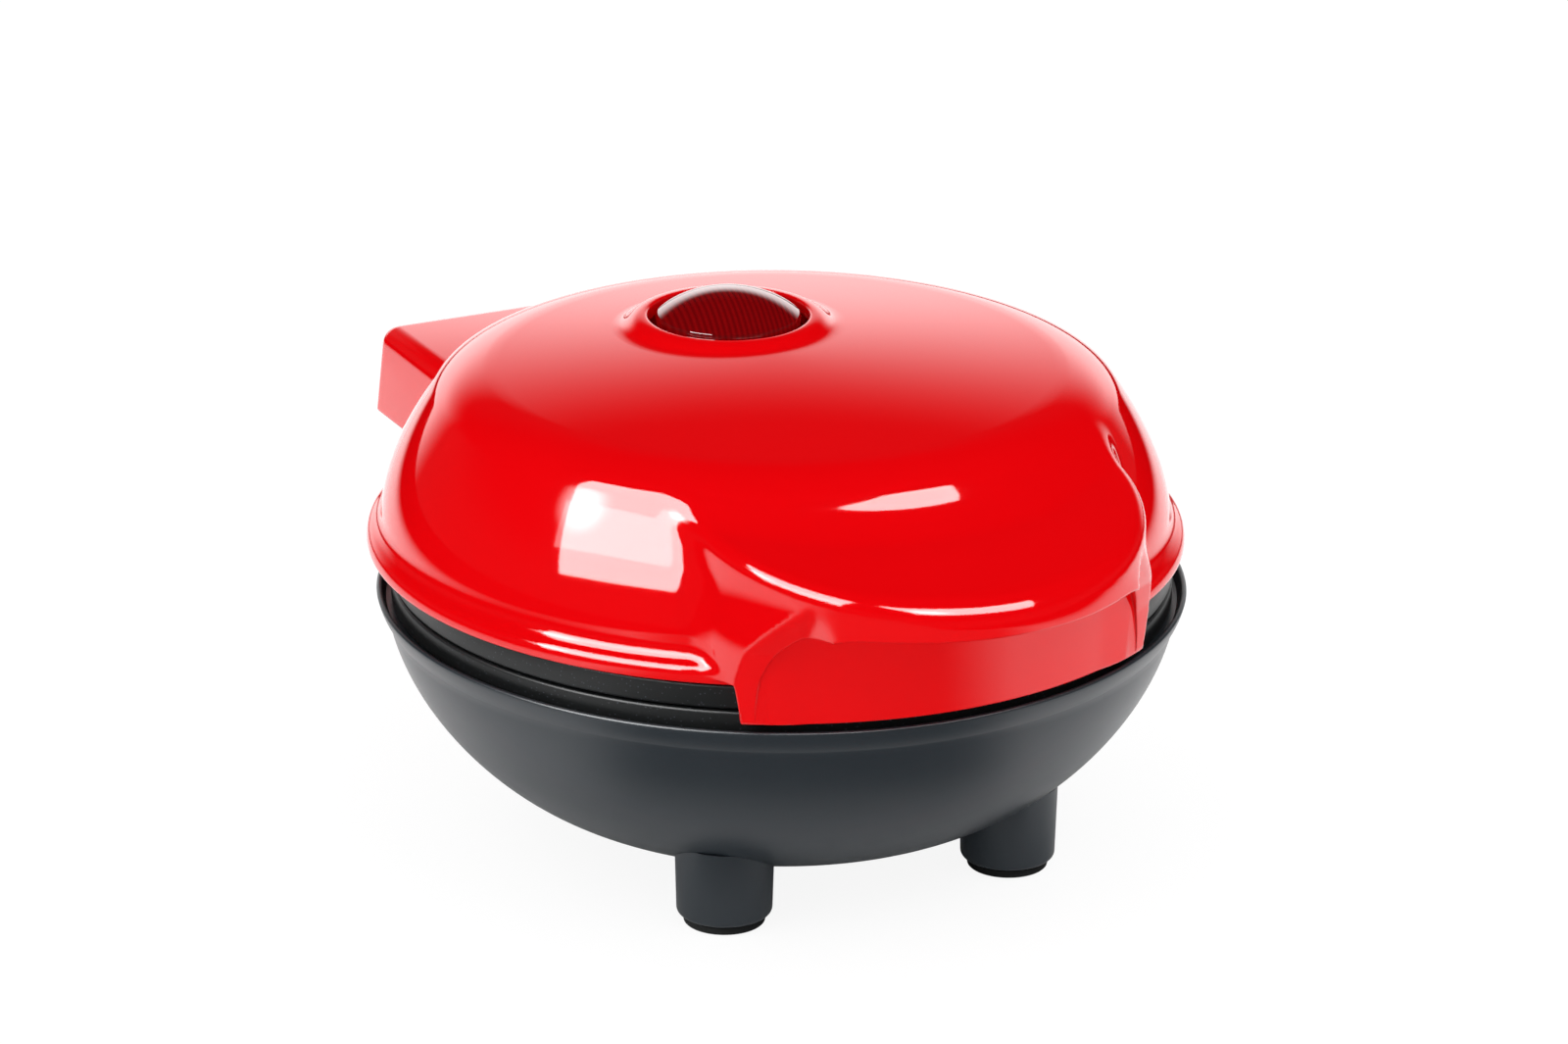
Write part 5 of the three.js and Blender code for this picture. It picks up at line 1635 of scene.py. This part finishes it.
@dataclass
class Camera:
    """The photo's camera."""

    distance: float = 1.0
    azimuth: float = -26.6
    elevation: float = 21.417
    roll: float = 0.373
    focal: float = 144.28
    shift: Pair = (0.0016, 0.0427)
    aim_height: float = 0.04
    sensor: float = 36.0
    clip: Pair = (0.05, 20.0)

    def build(self, axis_y: float) -> None:
        """Adds the camera.

        Args:
            axis_y: the bowl axis in the row frame.
        """
        data = bpy.data.cameras.new("camera")
        data.sensor_width = self.sensor
        data.lens = self.focal
        data.shift_x, data.shift_y = self.shift
        data.clip_start, data.clip_end = self.clip
        camera = placed("camera", data)
        back = heading(self.azimuth, self.elevation)
        camera.location = Vector((0, axis_y, self.aim_height)) + back * self.distance
        camera.rotation_mode = "QUATERNION"
        turn = Quaternion((0, 0, 1), math.radians(self.roll))
        camera.rotation_quaternion = (-back).to_track_quat("-Z", "Y") @ turn
        bpy.context.scene.camera = camera


@dataclass
class Studio:
    """Floor, surroundings and lamps.

    Args:
        even_level: light that matt surfaces get from all round.
        wall_level: brightness of the wall behind, as glossy surfaces mirror it.
        dark_level: brightness of the rest of the room.
        wall_fade: heights of a direction between which the wall fades upwards.
        wall_direction: where the wall stands.
        wall_side: cosines between which it fades in from the sides.
        sheet_edge: distances to the side between which the white sheet on the floor fades.
        shade_direction: where the floor is dark, as glossy surfaces mirror it.
        shade_side: cosines between which that shade fades in.
        shade_depth: how dark it gets.
        under: distances between which the floor comes out from under the object.
        side_glow: light that glossy surfaces see on all of the floor beyond the object.
        white_share: share of plain white in the floor that the camera sees.
        white_level: brightness of that white.
        floor_half: half the floor's width, in metres.
        aim_height: height that the lamps look at, in metres.
        lamps: the lamps.
    """

    even_level: float = 0.84
    wall_level: float = 2.1
    dark_level: float = 0.02
    wall_fade: Pair = (0.18, 0.44)
    wall_direction: Pair = (0.39, 0.9208)
    wall_side: Pair = (0.72, 0.93)
    sheet_edge: Pair = (0.2, 0.34)
    shade_direction: Pair = (-0.342, -0.94)
    shade_side: Pair = (0.62, 0.88)
    shade_depth: float = 0.9
    under: Pair = (0.05, 0.085)
    side_glow: float = 0.45
    white_share: float = 0.85
    white_level: float = 1.06
    floor_half: float = 6.0
    aim_height: float = 0.05
    lamps: list[SoftBox] = field(default_factory=lambda: [
        SoftBox("fill_left", Duty.FILL, 80.0, 38.0, 1.4, 1.4, 4.0),
        SoftBox("fill_right", Duty.FILL, -26.0, 50.0, 1.2, 0.55, 3.0),
        SoftBox("box_left", Duty.GLINT, 77.0, 42.0, 1.16, 1.42, 76.0, 11.0),
        SoftBox("band_left", Duty.GLINT, 77.0, 34.0, 1.16, 0.37, 6.0, 11.0),
        SoftBox("box_right", Duty.GLINT, -21.0, 56.0, 1.16, 0.83, 42.0, -14.5),
        SoftBox("bulb_left", Duty.GLINT, 96.0, 35.5, 0.5, 0.5, 10.0, soft=True),
        SoftBox("bulb_right", Duty.GLINT, 0.0, 54.0, 0.4, 0.4, 12.0, soft=True),
    ])

    def floor(self) -> None:
        """Adds the white floor, which keeps the shadow."""
        bm = bmesh.new()
        bmesh.ops.create_grid(bm, x_segments=1, y_segments=1, size=self.floor_half)
        data = bpy.data.meshes.new("floor")
        bm.to_mesh(data)
        bm.free()
        data.materials.append(self._floor_white())
        floor = placed("floor", data)

    def _floor_white(self) -> bpy.types.Material:
        """Builds the floor's material: white for the camera, darker at the front for glossy surfaces.

        Returns:
            The material.
        """
        made = bpy.data.materials.new("floor_white")
        made.use_nodes = True
        tree = made.node_tree
        shader = tree.nodes["Principled BSDF"]
        shader.inputs["Base Color"].default_value = (0.95, 0.95, 0.95, 1.0)
        shader.inputs["Roughness"].default_value = 0.9
        path = tree.nodes.new("ShaderNodeLightPath")
        mirrored = path.outputs["Is Glossy Ray"]
        place = tree.nodes.new("ShaderNodeTexCoord").outputs["Object"]
        across = linked_dot(tree, place, (self.wall_direction[1], -self.wall_direction[0], 0.0))
        away = added(tree, "Math", {0: across}, operation="ABSOLUTE").outputs["Value"]
        beyond = linked_ramp(tree, away, self.sheet_edge, 0.0, 1.0)
        facing = added(tree, "VectorMath", {0: place}, operation="NORMALIZE").outputs["Vector"]
        toward = linked_dot(tree, facing, (*self.shade_direction, 0.0))
        shade = linked_ramp(tree, toward, self.shade_side, 0.0, self.shade_depth)
        reach = added(tree, "VectorMath", {0: place}, operation="LENGTH").outputs["Value"]
        outside = linked_ramp(tree, reach, self.under, 0.0, 1.0)
        dark = linked_math(tree, "MAXIMUM", beyond, linked_math(tree, "MULTIPLY", shade, outside))
        dark = linked_math(tree, "MULTIPLY", mirrored, dark)
        lit = linked_math(tree, "MULTIPLY", mirrored, linked_math(tree, "MULTIPLY", outside, self.side_glow))
        extra = added(tree, "Emission", {"Strength": lit}).outputs["Emission"]
        bright = added(tree, "AddShader", {0: shader.outputs["BSDF"], 1: extra}).outputs["Shader"]
        shaded = added(tree, "MixShader", {0: dark, 1: bright}).outputs["Shader"]
        plain = added(tree, "Emission", {"Strength": self.white_level}).outputs["Emission"]
        seen = linked_math(tree, "MULTIPLY", path.outputs["Is Camera Ray"], self.white_share)
        both = added(tree, "MixShader", {0: seen, 1: shaded, 2: plain}).outputs["Shader"]
        tree.links.new(both, tree.nodes["Material Output"].inputs["Surface"])
        return made

    def world(self) -> None:
        """Adds the surroundings.

        They are white for the camera, even for matt surfaces and a lit wall behind for glossy ones.
        """
        world = bpy.data.worlds.new("world")
        bpy.context.scene.world = world
        world.use_nodes = True
        tree = world.node_tree
        direction = tree.nodes.new("ShaderNodeTexCoord").outputs["Generated"]
        split = added(tree, "SeparateXYZ", {"Vector": direction})
        height = linked_ramp(tree, split.outputs["Z"], self.wall_fade, self.wall_level, self.dark_level)
        along = linked_dot(tree, direction, (*self.wall_direction, 0.0))
        middle = linked_ramp(tree, along, self.wall_side, self.dark_level, 1.0)
        wall = linked_math(tree, "MULTIPLY", height, middle)
        path = tree.nodes.new("ShaderNodeLightPath")
        even = linked_math(tree, "MULTIPLY", path.outputs["Is Diffuse Ray"], self.even_level)
        seen = linked_math(tree, "MAXIMUM", path.outputs["Is Camera Ray"], even)
        mirrored = linked_math(tree, "MULTIPLY", wall, path.outputs["Is Glossy Ray"])
        back = tree.nodes["Background"]
        back.inputs["Color"].default_value = (1.0, 1.0, 1.0, 1.0)
        tree.links.new(linked_math(tree, "MAXIMUM", seen, mirrored), back.inputs["Strength"])

    def build(self, axis_y: float) -> None:
        """Adds floor, surroundings, lamps and camera.

        Args:
            axis_y: the bowl axis in the row frame.
        """
        self.floor()
        self.world()
        for lamp in self.lamps:
            lamp.build(Vector((0, axis_y, self.aim_height)))
        Camera().build(axis_y)
        bpy.context.scene.view_settings.view_transform = "Standard"


def main() -> None:
    """Builds the dressed object and the studio."""
    logging.basicConfig(level=logging.INFO)
    for leftover in list(bpy.data.objects):
        bpy.data.objects.remove(leftover)
    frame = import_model()
    palette = Palette()
    shop = Workshop(palette)
    Bowl(BowlSize()).build(shop)
    Plates(PlateSize()).build(shop)
    Lid(LidSize()).build(shop)
    Lens(LensSize()).build(shop)
    Loom().build(shop)
    Hardware(frame).dress(palette)
    Studio().build(shop.axis_y)


if __name__ == "__main__":
    main()
